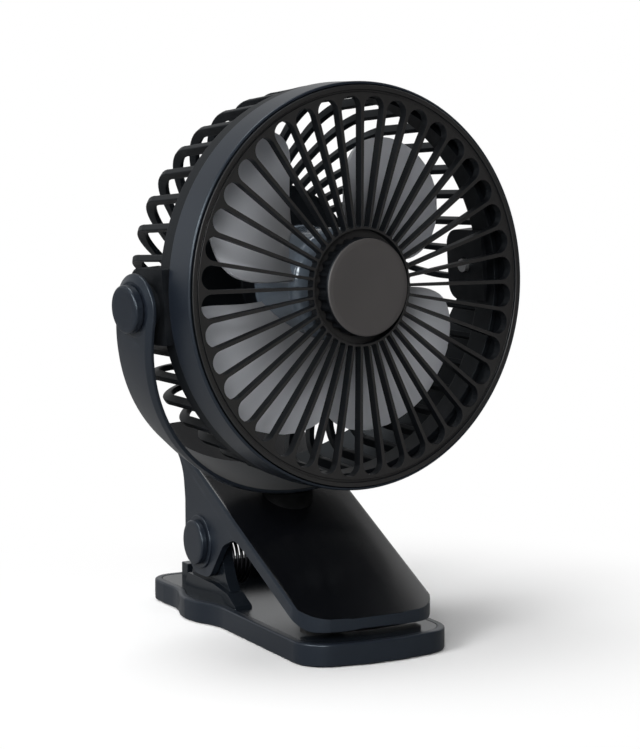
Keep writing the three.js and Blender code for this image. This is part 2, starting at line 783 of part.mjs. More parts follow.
function blade() {
  const [rows, columns] = [6, 6];
  const root = HUB_RADIUS - 0.8;
  const front = [];
  const back = [];
  for (let i = 0; i <= rows; i += 1) {
    const share = i / rows;
    const radius = root + (BLADE_TIP - root) * share;
    const half = bladeHalfAngle(share);
    const rise = BLADE_RISE * (1 - 0.25 * share);
    const sweep = degrees(10) * share * share;
    for (let j = 0; j <= columns; j += 1) {
      const across = (2 * j) / columns - 1;
      const angle = across * half + sweep;
      const camber = 1.6 * (1 - across * across);
      const slope = (across * half) / BLADE_SPAN;
      const y = HUB_FRONT + HUB_LENGTH / 2 - 1 + (slope * rise) / 2 - camber;
      const thin = BLADE_THICK * (1 - 0.3 * share) * (0.55 + 0.45 * (1 - across * across));
      front.push(new THREE.Vector3(radius * Math.sin(angle), y - thin / 2, radius * Math.cos(angle)));
      back.push(new THREE.Vector3(radius * Math.sin(angle), y + thin / 2, radius * Math.cos(angle)));
    }
  }
  return sheet(front, back, rows, columns);
}

/** A thin closed solid between two equal grids of points. */
function sheet(front, back, rows, columns) {
  const stride = columns + 1;
  const count = front.length;
  const at = (i, j) => i * stride + j;
  const index = [];
  for (let i = 0; i < rows; i += 1) {
    for (let j = 0; j < columns; j += 1) {
      const [a, b, c, d] = [at(i, j), at(i, j + 1), at(i + 1, j + 1), at(i + 1, j)];
      index.push(a, b, c, a, c, d);
      index.push(count + a, count + c, count + b, count + a, count + d, count + c);
    }
  }
  const edge = [];
  for (let j = 0; j < columns; j += 1) {
    edge.push(at(0, j));
  }
  for (let i = 0; i < rows; i += 1) {
    edge.push(at(i, columns));
  }
  for (let j = columns; j > 0; j -= 1) {
    edge.push(at(rows, j));
  }
  for (let i = rows; i > 0; i -= 1) {
    edge.push(at(i, 0));
  }
  edge.forEach((a, k) => {
    const b = edge[(k + 1) % edge.length];
    index.push(b, a, count + a, b, count + a, count + b);
  });
  const geometry = new THREE.BufferGeometry();
  const flat = [...front, ...back].flatMap((point) => point.toArray());
  geometry.setAttribute('position', new THREE.Float32BufferAttribute(flat, 3));
  geometry.setIndex(index);
  return closed(geometry);
}

function impeller() {
  const rear = HUB_FRONT + HUB_LENGTH;
  const inner = HUB_RADIUS - HUB_WALL;
  const hub = turned(
    [
      [0, HUB_FRONT],
      [HUB_RADIUS - HUB_ROUND, HUB_FRONT],
      [HUB_RADIUS - 1.2, HUB_FRONT + 1.2],
      [HUB_RADIUS, HUB_FRONT + HUB_ROUND],
      [HUB_RADIUS, rear],
      [inner, rear],
      [inner, HUB_FRONT + HUB_WALL],
      [5, HUB_FRONT + HUB_WALL],
      [5, HUB_FRONT + HUB_WALL + 6],
      [SHAFT_RADIUS + GAP + 0.05, HUB_FRONT + HUB_WALL + 6],
      [SHAFT_RADIUS + GAP + 0.05, HUB_FRONT + HUB_WALL],
      [0, HUB_FRONT + HUB_WALL],
    ],
    HUB_SIDES,
  );
  const blades = [];
  for (let i = 0; i < BLADE_COUNT; i += 1) {
    blades.push(blade().rotateY(BLADE_REST + (2 * Math.PI * i) / BLADE_COUNT));
  }
  const clear = BLADE_TIP + HUB_RADIUS;
  const keep = ring(inner + 0.4, clear, HUB_FRONT - BLADE_RISE, rear + BLADE_RISE, HUB_SIDES);
  return joined(hub, ...blades.map((piece) => common(piece, keep)));
}

// ---------------------------------------------------------------- yoke

function yoke() {
  const full = turned(
    [
      [YOKE_RADIUS, -HALF_YOKE],
      [YOKE_RADIUS, HALF_YOKE],
      [YOKE_RADIUS + YOKE_EDGE, HALF_YOKE],
      [ARM_OUTER - 0.4, HALF_YOKE / 2],
      [ARM_OUTER, 0],
      [ARM_OUTER - 0.4, -HALF_YOKE / 2],
      [YOKE_RADIUS + YOKE_EDGE, -HALF_YOKE],
    ],
    RING_SIDES,
  );
  const reach = ARM_OUTER + EPS;
  const strap = cut(full, box([-reach, reach], [-YOKE_WIDTH, YOKE_WIDTH], [0, reach]));
  const armEnd = turnedX(
    [
      [0, YOKE_RADIUS],
      [HALF_YOKE, YOKE_RADIUS],
      [HALF_YOKE, YOKE_RADIUS + YOKE_EDGE],
      [HALF_YOKE - 2.2, ARM_OUTER],
      [0, ARM_OUTER],
    ],
    ROUND_SIDES,
  );
  const swivelPad = discZ(SWIVEL_PAD_RADIUS, -ARM_OUTER - SWIVEL_PAD_THICK, -ARM_OUTER + 1.4, ROUND_SIDES);
  const stem = discZ(STEM_RADIUS, STEM_END, -ARM_OUTER + 1, ROUND_SIDES);
  const wireHole = discZ(STEM_BORE, STEM_END - EPS, YOKE_WALL - YOKE_RADIUS, SMALL_SIDES);
  const axleHole = discX(TILT_AXLE_RADIUS + GAP, YOKE_RADIUS - YOKE_WALL, ARM_OUTER + YOKE_WALL, SMALL_SIDES);
  const cleared = discX(PIVOT_BOSS_RADIUS + 2 * GAP, 0.01 - YOKE_RADIUS, YOKE_RADIUS - 0.01, ROUND_SIDES);
  const ends = pair(armEnd);
  return cut(joined(strap, ...ends, swivelPad, stem), wireHole, ...pair(axleHole), cleared);
}

function swivelWasher() {
  const top = SWIVEL_WASHER_TOP;
  return turnedZ(
    [
      [STEM_RADIUS + GAP, top],
      [SWIVEL_WASHER_RADIUS, top],
      [SWIVEL_WASHER_RADIUS, top - SWIVEL_WASHER_THICK],
      [STEM_RADIUS + GAP, top - SWIVEL_WASHER_THICK],
    ],
    ROUND_SIDES,
  );
}

function swivelClip() {
  const top = SWIVEL_CLIP_TOP;
  const washer = turnedZ(
    [
      [STEM_RADIUS + GAP, top],
      [SWIVEL_WASHER_RADIUS - 1.6, top],
      [SWIVEL_WASHER_RADIUS - 1.6, top - SWIVEL_CLIP_THICK],
      [STEM_RADIUS + GAP, top - SWIVEL_CLIP_THICK],
    ],
    ROUND_SIDES,
  );
  const mouth = box([-STEM_BORE, STEM_BORE], [0, SWIVEL_WASHER_RADIUS], [STEM_END, SWIVEL_BOSS_TOP]);
  return cut(washer, mouth);
}

function tiltWasher() {
  return turnedX(
    [
      [TILT_AXLE_RADIUS + GAP, WASHER_OUTER - WASHER_THICK],
      [PIVOT_BOSS_RADIUS, WASHER_OUTER - WASHER_THICK],
      [PIVOT_BOSS_RADIUS, WASHER_OUTER],
      [TILT_AXLE_RADIUS + GAP, WASHER_OUTER],
    ],
    ROUND_SIDES,
  );
}

function tiltAxle() {
  const head = ARM_OUTER + GAP;
  return turnedX(
    [
      [0, PIVOT_PAD_REACH - TILT_AXLE_DEPTH],
      [TILT_AXLE_RADIUS, PIVOT_PAD_REACH - TILT_AXLE_DEPTH],
      [TILT_AXLE_RADIUS, head],
      [TILT_HEAD_RADIUS, head],
      [TILT_HEAD_RADIUS, head + TILT_HEAD_THICK],
      [0, head + TILT_HEAD_THICK],
    ],
    SMALL_SIDES,
  );
}

function tiltKnob() {
  const seat = ARM_OUTER + GAP;
  const pocket = seat + TILT_HEAD_THICK + GAP;
  const face = seat + TILT_KNOB_THICK;
  return turnedX(
    [
      [TILT_HEAD_RADIUS + GAP, seat],
      [TILT_KNOB_RADIUS, seat],
      [TILT_KNOB_RADIUS, face - 0.8],
      [TILT_KNOB_RADIUS - 0.8, face],
      [0, face],
      [0, pocket],
      [TILT_HEAD_RADIUS + GAP, pocket],
    ],
    ROUND_SIDES,
  );
}

// ---------------------------------------------------------------- lower jaw

/** Plan of the lower jaw, drawn inset by a margin: bowed front, flared ears, rounded tail. */
function basePlan(inset = 0) {
  const side = BASE_HALF_WIDTH - inset;
  const ear = BASE_EAR_HALF_WIDTH - inset;
  const waist = BASE_TAIL_HALF_WIDTH - inset - 0.8;
  const tail = BASE_TAIL_HALF_WIDTH - inset;
  const rear = BASE_REAR - inset;
  const bow = BASE_FRONT_BOW - inset;
  const bowY = BASE_FRONT + BASE_FRONT_BOW;
  const corner = Math.max(BASE_CORNER - inset, 2);
  const tailCorner = Math.max(BASE_TAIL_CORNER - inset, 2);
  const cornerX = side - corner;
  const cornerY = bowY - Math.sqrt((bow - corner) ** 2 - cornerX ** 2);
  const meet = Math.atan2(cornerY - bowY, cornerX);
  const shape = new THREE.Shape();
  shape.absarc(0, bowY, bow, -Math.PI - meet, meet, false);
  shape.absarc(cornerX, cornerY, corner, meet, 0, false);
  shape.lineTo(side, PIVOT_Y - 22.6);
  shape.bezierCurveTo(side + 0.2, PIVOT_Y - 15, ear, PIVOT_Y - 13, ear, PIVOT_Y - 3);
  shape.bezierCurveTo(ear, PIVOT_Y + 6, waist, PIVOT_Y + 8, waist, PIVOT_Y + 16);
  shape.lineTo(tail, PIVOT_Y + 24);
  shape.absarc(tail - tailCorner, rear - tailCorner, tailCorner, 0, Math.PI / 2, false);
  shape.absarc(tailCorner - tail, rear - tailCorner, tailCorner, Math.PI / 2, Math.PI, false);
  shape.lineTo(-tail, PIVOT_Y + 24);
  shape.lineTo(-waist, PIVOT_Y + 16);
  shape.bezierCurveTo(-waist, PIVOT_Y + 8, -ear, PIVOT_Y + 6, -ear, PIVOT_Y - 3);
  shape.bezierCurveTo(-ear, PIVOT_Y - 13, -side - 0.2, PIVOT_Y - 15, -side, PIVOT_Y - 22.6);
  shape.absarc(-cornerX, cornerY, corner, Math.PI, -Math.PI - meet, false);
  return shape;
}

function baseTray() {
  const edge = {
    bevelEnabled: true,
    bevelThickness: BASE_EDGE,
    bevelSize: BASE_EDGE,
    bevelOffset: -BASE_EDGE,
    bevelSegments: 1,
    curveSegments: 3,
  };
  const body = alongZ(basePlan(), FOOT_PROUD + BASE_EDGE, BASE_THICK - BASE_EDGE, edge);
  const recess = alongZ(basePlan(FRAME_INSET), TRAY_TOP, BASE_THICK + EPS, { curveSegments: 3 });
  const footRecess = alongZ(basePlan(FOOT_INSET), FOOT_PROUD - EPS, FOOT_THICK + GAP, { curveSegments: 3 });
  return cut(body, recess, footRecess, ...baseScrewPockets());
}

function baseFootPad() {
  return alongZ(basePlan(FOOT_INSET + GAP), 0, FOOT_THICK, { curveSegments: 3 });
}

/** Side view of a hinge ear: round at the pivot, with a hollow front edge down to its foot. */
function earProfile() {
  const shape = new THREE.Shape();
  const foot = FRAME_BOTTOM + 1;
  const wrap = degrees(195);
  shape.moveTo(PIVOT_Y + 15.5, foot);
  shape.lineTo(PIVOT_Y + EAR_RADIUS, PIVOT_Z - 4);
  shape.absarc(PIVOT_Y, PIVOT_Z, EAR_RADIUS, 0, wrap, false);
  shape.quadraticCurveTo(PIVOT_Y - 15, PIVOT_Z - 14, PIVOT_Y - 26, FRAME_TOP + 0.4);
  shape.lineTo(PIVOT_Y - 28, foot);
  return shape;
}

/** Side view of the pedestal at the foot of an ear. */
function pedestalProfile() {
  const foot = FRAME_BOTTOM + 1;
  const top = FRAME_TOP + PEDESTAL_HEIGHT;
  return polygon([
    [PIVOT_Y - 30, foot],
    [PIVOT_Y - 29, FRAME_TOP + 1],
    [PIVOT_Y - 22, top - 1.6],
    [PIVOT_Y - 10, top],
    [PIVOT_Y + 13, top],
    [PIVOT_Y + 17, foot],
  ]);
}

/** The bore of the clip pin through whatever reaches so far to both sides. */
function pinBore(reach) {
  return discX(PIN_RADIUS + GAP, -reach - EPS, reach + EPS, SMALL_SIDES).translate(0, PIVOT_Y, PIVOT_Z);
}

function baseFrame() {
  const plate = alongZ(basePlan(FRAME_INSET + GAP), FRAME_BOTTOM, FRAME_TOP, { curveSegments: 3 });
  const ears = pair(alongX(earProfile(), EAR_INNER, EAR_OUTER, { curveSegments: 6 }));
  const outer = EAR_OUTER + PEDESTAL_THICK;
  const pedestal = alongX(pedestalProfile(), EAR_INNER, outer);
  const corner = box([0, EAR_OUTER], [-EAR_RADIUS, EAR_RADIUS], [0, PIVOT_Z]).rotateZ(degrees(-24));
  const rearBevel = corner.translate(outer, PIVOT_Y + 12, 0);
  const pedestals = pair(cut(pedestal, rearBevel));
  const stop = box(
    [-EAR_OUTER, EAR_OUTER],
    [STOP_Y, STOP_Y + STOP_LENGTH],
    [FRAME_BOTTOM + 1, FRAME_TOP + STOP_HEIGHT],
  );
  return cut(joined(plate, ...ears, ...pedestals, stop), pinBore(EAR_OUTER), ...baseScrewBores());
}

const baseScrewSpots = [
  [-18, -30],
  [18, -30],
  [-20, PIVOT_Y + 28],
  [20, PIVOT_Y + 28],
];

function baseScrew([x, y]) {
  const head = FOOT_THICK + 2 * GAP;
  const length = FRAME_TOP - 0.8 - head;
  return screw(length).rotateX(Math.PI / 2).translate(x, y, head);
}

function baseScrewPockets() {
  const head = FOOT_THICK + GAP + SCREW_HEAD_THICK + GAP;
  return baseScrewSpots.flatMap(([x, y]) => [
    discZ(SCREW_HEAD_RADIUS + GAP, FOOT_THICK - 1, head + GAP, SCREW_SIDES).translate(x, y, 0),
    discZ(SCREW_SHANK_RADIUS + GAP, FOOT_THICK, BASE_THICK, SCREW_SIDES).translate(x, y, 0),
  ]);
}

function baseScrewBores() {
  return baseScrewSpots.map(([x, y]) =>
    discZ(SCREW_SHANK_RADIUS + GAP, FRAME_BOTTOM - 1, FRAME_TOP - 0.8 + GAP, SCREW_SIDES).translate(x, y, 0),
  );
}

// ---------------------------------------------------------------- upper jaw

const slopeAt = (y) => JAW_LEVEL + Math.tan(JAW_SLOPE) * y;
const below = (thickness) => thickness / Math.cos(JAW_SLOPE);

/** Moves a piece drawn along the slope (x, distance up the slope, height above the face) into place. */
function onSlope(geometry) {
  return geometry.rotateX(JAW_SLOPE).translate(0, 0, JAW_LEVEL);
}

/** Side view of the upper jaw: the sloping top, the tail, the rounded foot, the arch and the window. */
function jawProfile() {
  const shape = new THREE.Shape();
  const border = (y) => slopeAt(y) - below(JAW_BORDER);
  const archTop = slopeAt(ARCH_Y) - ARCH_DEPTH;
  const front = degrees(222);
  const footX = PIVOT_Y + JAW_FOOT_RADIUS * Math.cos(front);
  const footZ = PIVOT_Z + JAW_FOOT_RADIUS * Math.sin(front);
  shape.moveTo(JAW_FRONT + 2, JAW_LIP_Z);
  shape.lineTo(JAW_FRONT + 0.5, JAW_LIP_Z + 0.8);
  shape.lineTo(JAW_FRONT, JAW_LIP_Z + 2.4);
  shape.lineTo(JAW_FRONT + 0.6, slopeAt(JAW_FRONT) - 1);
  shape.lineTo(JAW_FRONT + 2.6, slopeAt(JAW_FRONT + 2.6));
  shape.lineTo(JAW_TAIL - 2, slopeAt(JAW_TAIL - 2));
  shape.quadraticCurveTo(JAW_TAIL + 0.6, slopeAt(JAW_TAIL), JAW_TAIL, slopeAt(JAW_TAIL) - 4);
  shape.bezierCurveTo(JAW_TAIL - 8, slopeAt(JAW_TAIL) - 9, WEB_Y + 2.9, WEB_Z + 16, WEB_Y + 2.6, WEB_Z + 7);
  shape.lineTo(WEB_Y + 2.4, PIVOT_Z + 8);
  shape.absarc(PIVOT_Y, PIVOT_Z, JAW_FOOT_RADIUS, degrees(12), front, true);
  shape.lineTo(footX - 6.2, footZ + 7.4);
  shape.quadraticCurveTo(ARCH_Y + 4.6, archTop - 0.4, ARCH_Y, archTop);
  shape.quadraticCurveTo(ARCH_Y - 6, archTop + 0.4, ARCH_Y - 13, border(ARCH_Y - 13));
  shape.lineTo(JAW_FRONT + 7, border(JAW_FRONT + 7));
  shape.lineTo(JAW_FRONT + 5, JAW_LIP_Z);
  return shape;
}

/** The hollow between the side walls, under the sloping plate. */
function jawHollow() {
  const under = (y) => slopeAt(y) - below(JAW_PLATE);
  const nose = JAW_FRONT + 10.5;
  return polygon([
    [nose, 0],
    [nose, under(nose)],
    [JAW_TAIL - 6, under(JAW_TAIL - 6)],
    [JAW_TAIL - 6, slopeAt(JAW_TAIL) - 9],
    [WEB_Y + 6.4, WEB_Z + 15],
    [WEB_Y, WEB_Z + 7],
    [WEB_Y, WEB_Z],
    [WEB_Y + 10, WEB_Z],
    [WEB_Y + 10, 0],
  ]);
}

/** Plan of the upper jaw: bowed front and rounded corners. */
function jawPlan() {
  const bow = BASE_FRONT_BOW;
  const bowY = JAW_FRONT + bow;
  const cornerX = JAW_HALF_WIDTH - JAW_CORNER;
  const cornerY = bowY - Math.sqrt((bow - JAW_CORNER) ** 2 - cornerX ** 2);
  const meet = Math.atan2(cornerY - bowY, cornerX);
  const rearY = JAW_TAIL + 1 - JAW_CORNER;
  const shape = new THREE.Shape();
  shape.absarc(0, bowY, bow, -Math.PI - meet, meet, false);
  shape.absarc(cornerX, cornerY, JAW_CORNER, meet, 0, false);
  shape.absarc(cornerX, rearY, JAW_CORNER, 0, Math.PI / 2, false);
  shape.absarc(-cornerX, rearY, JAW_CORNER, Math.PI / 2, Math.PI, false);
  shape.absarc(-cornerX, cornerY, JAW_CORNER, Math.PI, -Math.PI - meet, false);
  return shape;
}

/** Cross-section of the upper jaw, with the long edges of the sloping face taken off. */
function jawSection() {
  const half = JAW_HALF_WIDTH + CLIP_BOSS_PROUD;
  const deep = -JAW_LEVEL - JAW_TAIL;
  return polygon([
    [-half, deep],
    [half, deep],
    [half, -JAW_EDGE - CLIP_BOSS_PROUD],
    [JAW_HALF_WIDTH, -JAW_EDGE],
    [JAW_HALF_WIDTH - 0.4, -0.5],
    [JAW_HALF_WIDTH - JAW_EDGE, 0],
    [JAW_EDGE - JAW_HALF_WIDTH, 0],
    [0.4 - JAW_HALF_WIDTH, -0.5],
    [-JAW_HALF_WIDTH, -JAW_EDGE],
    [-half, -JAW_EDGE - CLIP_BOSS_PROUD],
  ]);
}

/** Turns a piece drawn on the swivel axis, with the head's centre as its origin, into the clip's frame. */
function onSwivel(geometry) {
  return geometry.rotateX(SWIVEL_LEAN).translate(0, 0, HEAD_HEIGHT);
}

/** The round boss on the sloping face that the yoke swivels on. */
function swivelBoss() {
  const foot = SWIVEL_BOSS_TOP - SWIVEL_BOSS_HEIGHT - JAW_PLATE;
  const boss = turnedZ(
    [
      [0, SWIVEL_BOSS_TOP],
      [SWIVEL_BOSS_RADIUS - 0.6, SWIVEL_BOSS_TOP],
      [SWIVEL_BOSS_RADIUS, SWIVEL_BOSS_TOP - 0.6],
      [SWIVEL_BOSS_RADIUS + 1.2, foot],
      [0, foot],
    ],
    ROUND_SIDES,
  );
  return onSwivel(boss);
}

function jawShell() {
  const outer = alongX(jawProfile(), -JAW_HALF_WIDTH, JAW_HALF_WIDTH, { curveSegments: 5 });
  const plan = alongZ(jawPlan(), 0, JAW_LEVEL + JAW_TAIL, { curveSegments: 4 });
  const section = onSlope(alongY(jawSection(), 2 * JAW_FRONT, 2 * JAW_TAIL));
  const block = common(outer, plan, section);
  const inside = JAW_HALF_WIDTH - JAW_WALL;
  const hollow = alongX(jawHollow(), -inside, inside);
  const rimReach = JAW_HALF_WIDTH + CLIP_BOSS_PROUD;
  const rim = ring(PIN_RADIUS + GAP, CLIP_BOSS_RADIUS, JAW_HALF_WIDTH - 1, rimReach, ROUND_SIDES);
  const rims = pair(rim.rotateZ(-Math.PI / 2)).map((piece) => piece.translate(0, PIVOT_Y, PIVOT_Z));
  const stemHole = onSwivel(discZ(STEM_RADIUS + GAP, STEM_END, -ARM_OUTER, ROUND_SIDES));
  const socketHole = onSlope(socketBlock(GAP, SOCKET_LENGTH));
  return cut(joined(cut(block, hollow), swivelBoss(), ...rims), stemHole, pinBore(rimReach), socketHole);
}

const socketEnd = () => JAW_TAIL / Math.cos(JAW_SLOPE) - 1.2;
const socketTop = () => -JAW_PLATE - GAP;

/** The outer block of the charging socket, grown by a margin, reaching further to the rear if asked. */
function socketBlock(margin, reach) {
  const end = socketEnd();
  const half = SOCKET_WIDTH / 2 + margin;
  return box(
    [-half, half],
    [end - SOCKET_LENGTH - margin, end + reach],
    [socketTop() - SOCKET_HEIGHT - margin, socketTop() + margin],
  );
}

function chargeSocket() {
  const mouth = socketBlock(-SOCKET_WALL, 3).translate(0, 1.5, 0);
  return onSlope(cut(socketBlock(0, 0), mouth));
}

function chargeBoard() {
  const end = socketEnd() - SOCKET_LENGTH - GAP;
  const half = CHARGE_BOARD_WIDTH / 2;
  const top = socketTop();
  return onSlope(box([-half, half], [end - CHARGE_BOARD_LENGTH, end], [top - BOARD_THICK, top]));
}

function batteryCell() {
  const half = BATTERY_WIDTH / 2;
  const top = -JAW_PLATE - GAP;
  const shape = polygon([
    [-half + 1, top],
    [-half, top - BATTERY_THICK / 2],
    [-half + 1, top - BATTERY_THICK],
    [half - 1, top - BATTERY_THICK],
    [half, top - BATTERY_THICK / 2],
    [half - 1, top],
  ]);
  return onSlope(alongY(shape, BATTERY_START, BATTERY_START + BATTERY_LENGTH));
}

function batteryTray() {
  const half = BATTERY_WIDTH / 2 + GAP + TRAY_WALL;
  const [from, to] = [BATTERY_START - GAP - TRAY_WALL, BATTERY_START + BATTERY_LENGTH + GAP + TRAY_WALL];
  const top = -JAW_PLATE - GAP;
  const bottom = top - BATTERY_THICK - GAP - TRAY_WALL;
  const outer = box([-half, half], [from, to], [bottom, top]);
  const inner = box(
    [-half + TRAY_WALL, half - TRAY_WALL],
    [from + TRAY_WALL, to - TRAY_WALL],
    [bottom + TRAY_WALL, top + EPS],
  );
  return onSlope(cut(outer, inner));
}

function jawGripPad() {
  const bow = alongZ(jawPlan(), PAD_BOTTOM, JAW_LIP_Z - GAP, { curveSegments: 4 });
  const keep = box(
    [-GRIP_PAD_HALF_WIDTH, GRIP_PAD_HALF_WIDTH],
    [JAW_FRONT, GRIP_PAD_FRONT + GRIP_PAD_LENGTH],
    [0, JAW_LIP_Z + 5],
  );
  const moved = bow.translate(0, GRIP_PAD_FRONT - JAW_FRONT, 0);
  return common(moved, keep);
}

function clipPin() {
  const reach = JAW_HALF_WIDTH + CLIP_BOSS_PROUD;
  return discX(PIN_RADIUS, -reach, reach, SMALL_SIDES).translate(0, PIVOT_Y, PIVOT_Z);
}

function clipKnob() {
  const seat = JAW_HALF_WIDTH + CLIP_BOSS_PROUD + GAP;
  const face = seat + CLIP_KNOB_THICK;
  return turnedX(
    [
      [0, seat],
      [CLIP_KNOB_RADIUS, seat],
      [CLIP_KNOB_RADIUS, face - 0.8],
      [CLIP_KNOB_RADIUS - 0.8, face],
      [0, face],
    ],
    ROUND_SIDES,
  );
}

// ---------------------------------------------------------------- torsion spring

/** Middle line of the wire: the lower leg, the coil hanging on the pin, and the upper leg. */
function springLine() {
  const middleZ = PIVOT_Z + PIN_RADIUS + GAP + SPRING_WIRE / 2 - SPRING_RADIUS;
  const from = -Math.PI / 2;
  const turn = SPRING_TURNS * 2 * Math.PI + (3 * Math.PI) / 2 - SPRING_UPPER_ANGLE;
  const steps = Math.round((SPRING_STEPS * turn) / (2 * Math.PI));
  const points = [];
  const legEnd = FRAME_TOP + GAP + SPRING_WIRE / 2;
  points.push(new THREE.Vector3(SPRING_START_X, PIVOT_Y + SPRING_LEG, legEnd));
  for (let i = 0; i <= steps; i += 1) {
    const angle = from - (turn * i) / steps;
    const x = SPRING_START_X + (SPRING_PITCH * turn * i) / (steps * 2 * Math.PI);
    const [y, z] = [SPRING_RADIUS * Math.cos(angle), SPRING_RADIUS * Math.sin(angle)];
    points.push(new THREE.Vector3(x, PIVOT_Y + y, middleZ + z));
  }
  const last = points[points.length - 1];
  const away = new THREE.Vector3(0, Math.sin(SPRING_UPPER_ANGLE), -Math.cos(SPRING_UPPER_ANGLE));
  points.push(last.clone().addScaledVector(away, SPRING_UPPER_LEG));
  return points;
}

/** A wire along the middle line, as one unbroken tube. */
function clipSpring() {
  const line = springLine();
  const rings = line.map((point, i) => {
    const before = line[Math.max(i - 1, 0)];
    const after = line[Math.min(i + 1, line.length - 1)];
    const along = new THREE.Vector3().subVectors(after, before).normalize();
    const side = new THREE.Vector3(1, 0, 0).addScaledVector(along, -along.x).normalize();
    const up = new THREE.Vector3().crossVectors(along, side);
    const circle = [];
    for (let j = 0; j < SPRING_SIDES; j += 1) {
      const angle = (2 * Math.PI * j) / SPRING_SIDES;
      circle.push(
        point
          .clone()
          .addScaledVector(side, (SPRING_WIRE / 2) * Math.cos(angle))
          .addScaledVector(up, (SPRING_WIRE / 2) * Math.sin(angle)),
      );
    }
    return circle;
  });
  return skinned(rings);
}

/** Least clear distance between turns that lie beside each other. */
function springSelfGap() {
  const line = springLine();
  let least = Infinity;
  line.forEach((point, i) => {
    for (let j = i + SPRING_STEPS - 1; j < line.length; j += 1) {
      least = Math.min(least, point.distanceTo(line[j]) - SPRING_WIRE);
    }
  });
  return least;
}

// ---------------------------------------------------------------- assembly

function fanHead() {
  const head = new THREE.Group();
  const washers = pair(tiltWasher());
  const axles = pair(tiltAxle());
  const magnets = pair(motorMagnet());
  head.add(
    mesh('front_bezel', frontBezel(), finishes.satinBlack()),
    mesh('front_grille', frontGrille(), finishes.warmBlack()),
    mesh('front_cap', frontCap(), finishes.warmBlack()),
    mesh('rear_cage', rearCage(), finishes.satinBlack()),
    mesh('rear_cover', rearCover(), finishes.satinBlack()),
    mesh('light_ring', lightRing(), finishes.clear()),
    mesh('control_board', controlBoard(), finishes.board()),
    mesh('switch_block', switchBlock(), finishes.darkSteel()),
    mesh('motor_can', motorCan(), finishes.steel()),
    mesh('motor_bush_front', motorBush(MOTOR_FRONT - 0.6), finishes.bronze()),
    mesh('motor_bush_rear', motorBush(MOTOR_REAR - BUSH_LENGTH), finishes.bronze()),
    mesh('motor_end_cap', motorEndCap(), finishes.rubber()),
    mesh('motor_magnet_right', magnets[0], finishes.darkSteel()),
    mesh('motor_magnet_left', magnets[1], finishes.darkSteel()),
    mesh('tilt_washer_right', washers[0], finishes.rubber()),
    mesh('tilt_washer_left', washers[1], finishes.rubber()),
    mesh('tilt_axle_right', axles[0], finishes.steel()),
    mesh('tilt_axle_left', axles[1], finishes.steel()),
    mesh('power_button', powerButton(), finishes.warmBlack()),
    mesh('impeller', impeller(), finishes.smoke()),
    mesh('motor_shaft', motorShaft(), finishes.steel()),
    mesh('motor_rotor', motorRotor(), finishes.copper()),
  );
  head.rotation.x = -TILT_REST;
  return head;
}

function yokeAssembly() {
  const lean = new THREE.Group();
  const swivel = new THREE.Group();
  const knobs = pair(tiltKnob());
  swivel.add(
    mesh('yoke', yoke(), finishes.satinBlack()),
    mesh('tilt_knob_right', knobs[0], finishes.satinBlack()),
    mesh('tilt_knob_left', knobs[1], finishes.satinBlack()),
    mesh('swivel_washer', swivelWasher(), finishes.steel()),
    mesh('swivel_clip', swivelClip(), finishes.darkSteel()),
    fanHead(),
  );
  swivel.rotation.z = SWIVEL_REST;
  lean.add(swivel);
  lean.rotation.x = SWIVEL_LEAN;
  lean.position.z = HEAD_HEIGHT;
  return lean;
}

function upperJaw() {
  const jaw = new THREE.Group();
  const knobs = pair(clipKnob());
  const place = (geometry) => geometry.translate(0, PIVOT_Y, PIVOT_Z);
  jaw.add(
    mesh('jaw_shell', jawShell(), finishes.glossBlack()),
    mesh('jaw_grip_pad', jawGripPad(), finishes.rubber()),
    mesh('clip_pin', clipPin(), finishes.steel()),
    mesh('clip_knob_right', place(knobs[0]), finishes.satinBlack()),
    mesh('clip_knob_left', place(knobs[1]), finishes.satinBlack()),
    mesh('battery_tray', batteryTray(), finishes.satinBlack()),
    mesh('battery_cell', batteryCell(), finishes.foil()),
    mesh('charge_board', chargeBoard(), finishes.board()),
    mesh('charge_socket', chargeSocket(), finishes.steel()),
  );
  return jaw;
}

function lowerJaw() {
  const base = new THREE.Group();
  base.add(
    mesh('base_tray', baseTray(), finishes.satinBlack()),
    mesh('base_frame', baseFrame(), finishes.greyGloss()),
    mesh('base_foot_pad', baseFootPad(), finishes.rubber()),
    ...baseScrewSpots.map((spot, i) => mesh(`base_screw_${i + 1}`, baseScrew(spot), finishes.steel())),
    mesh('clip_spring', clipSpring(), finishes.darkSteel()),
  );
  return base;
}

const fan = new THREE.Group();
fan.add(lowerJaw(), upperJaw(), yokeAssembly());
console.log(`least gap between turns of the clip spring: ${springSelfGap().toFixed(2)} mm`);

export default fan;
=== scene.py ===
"""Clip fan: the finished looks of a louvred fan head in a U-shaped yoke on a sprung clip.

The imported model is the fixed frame. Every class below is one sub-assembly; it holds its sizes in millimetres,
builds its meshes in its own frame, and dresses them. Finished pieces lie in metres in the frame of the model.
"""

from __future__ import annotations

import json
import logging
import math
from dataclasses import dataclass
from enum import Enum
from typing import Callable, Sequence

import bmesh
import bpy
from mathutils import Matrix, Vector

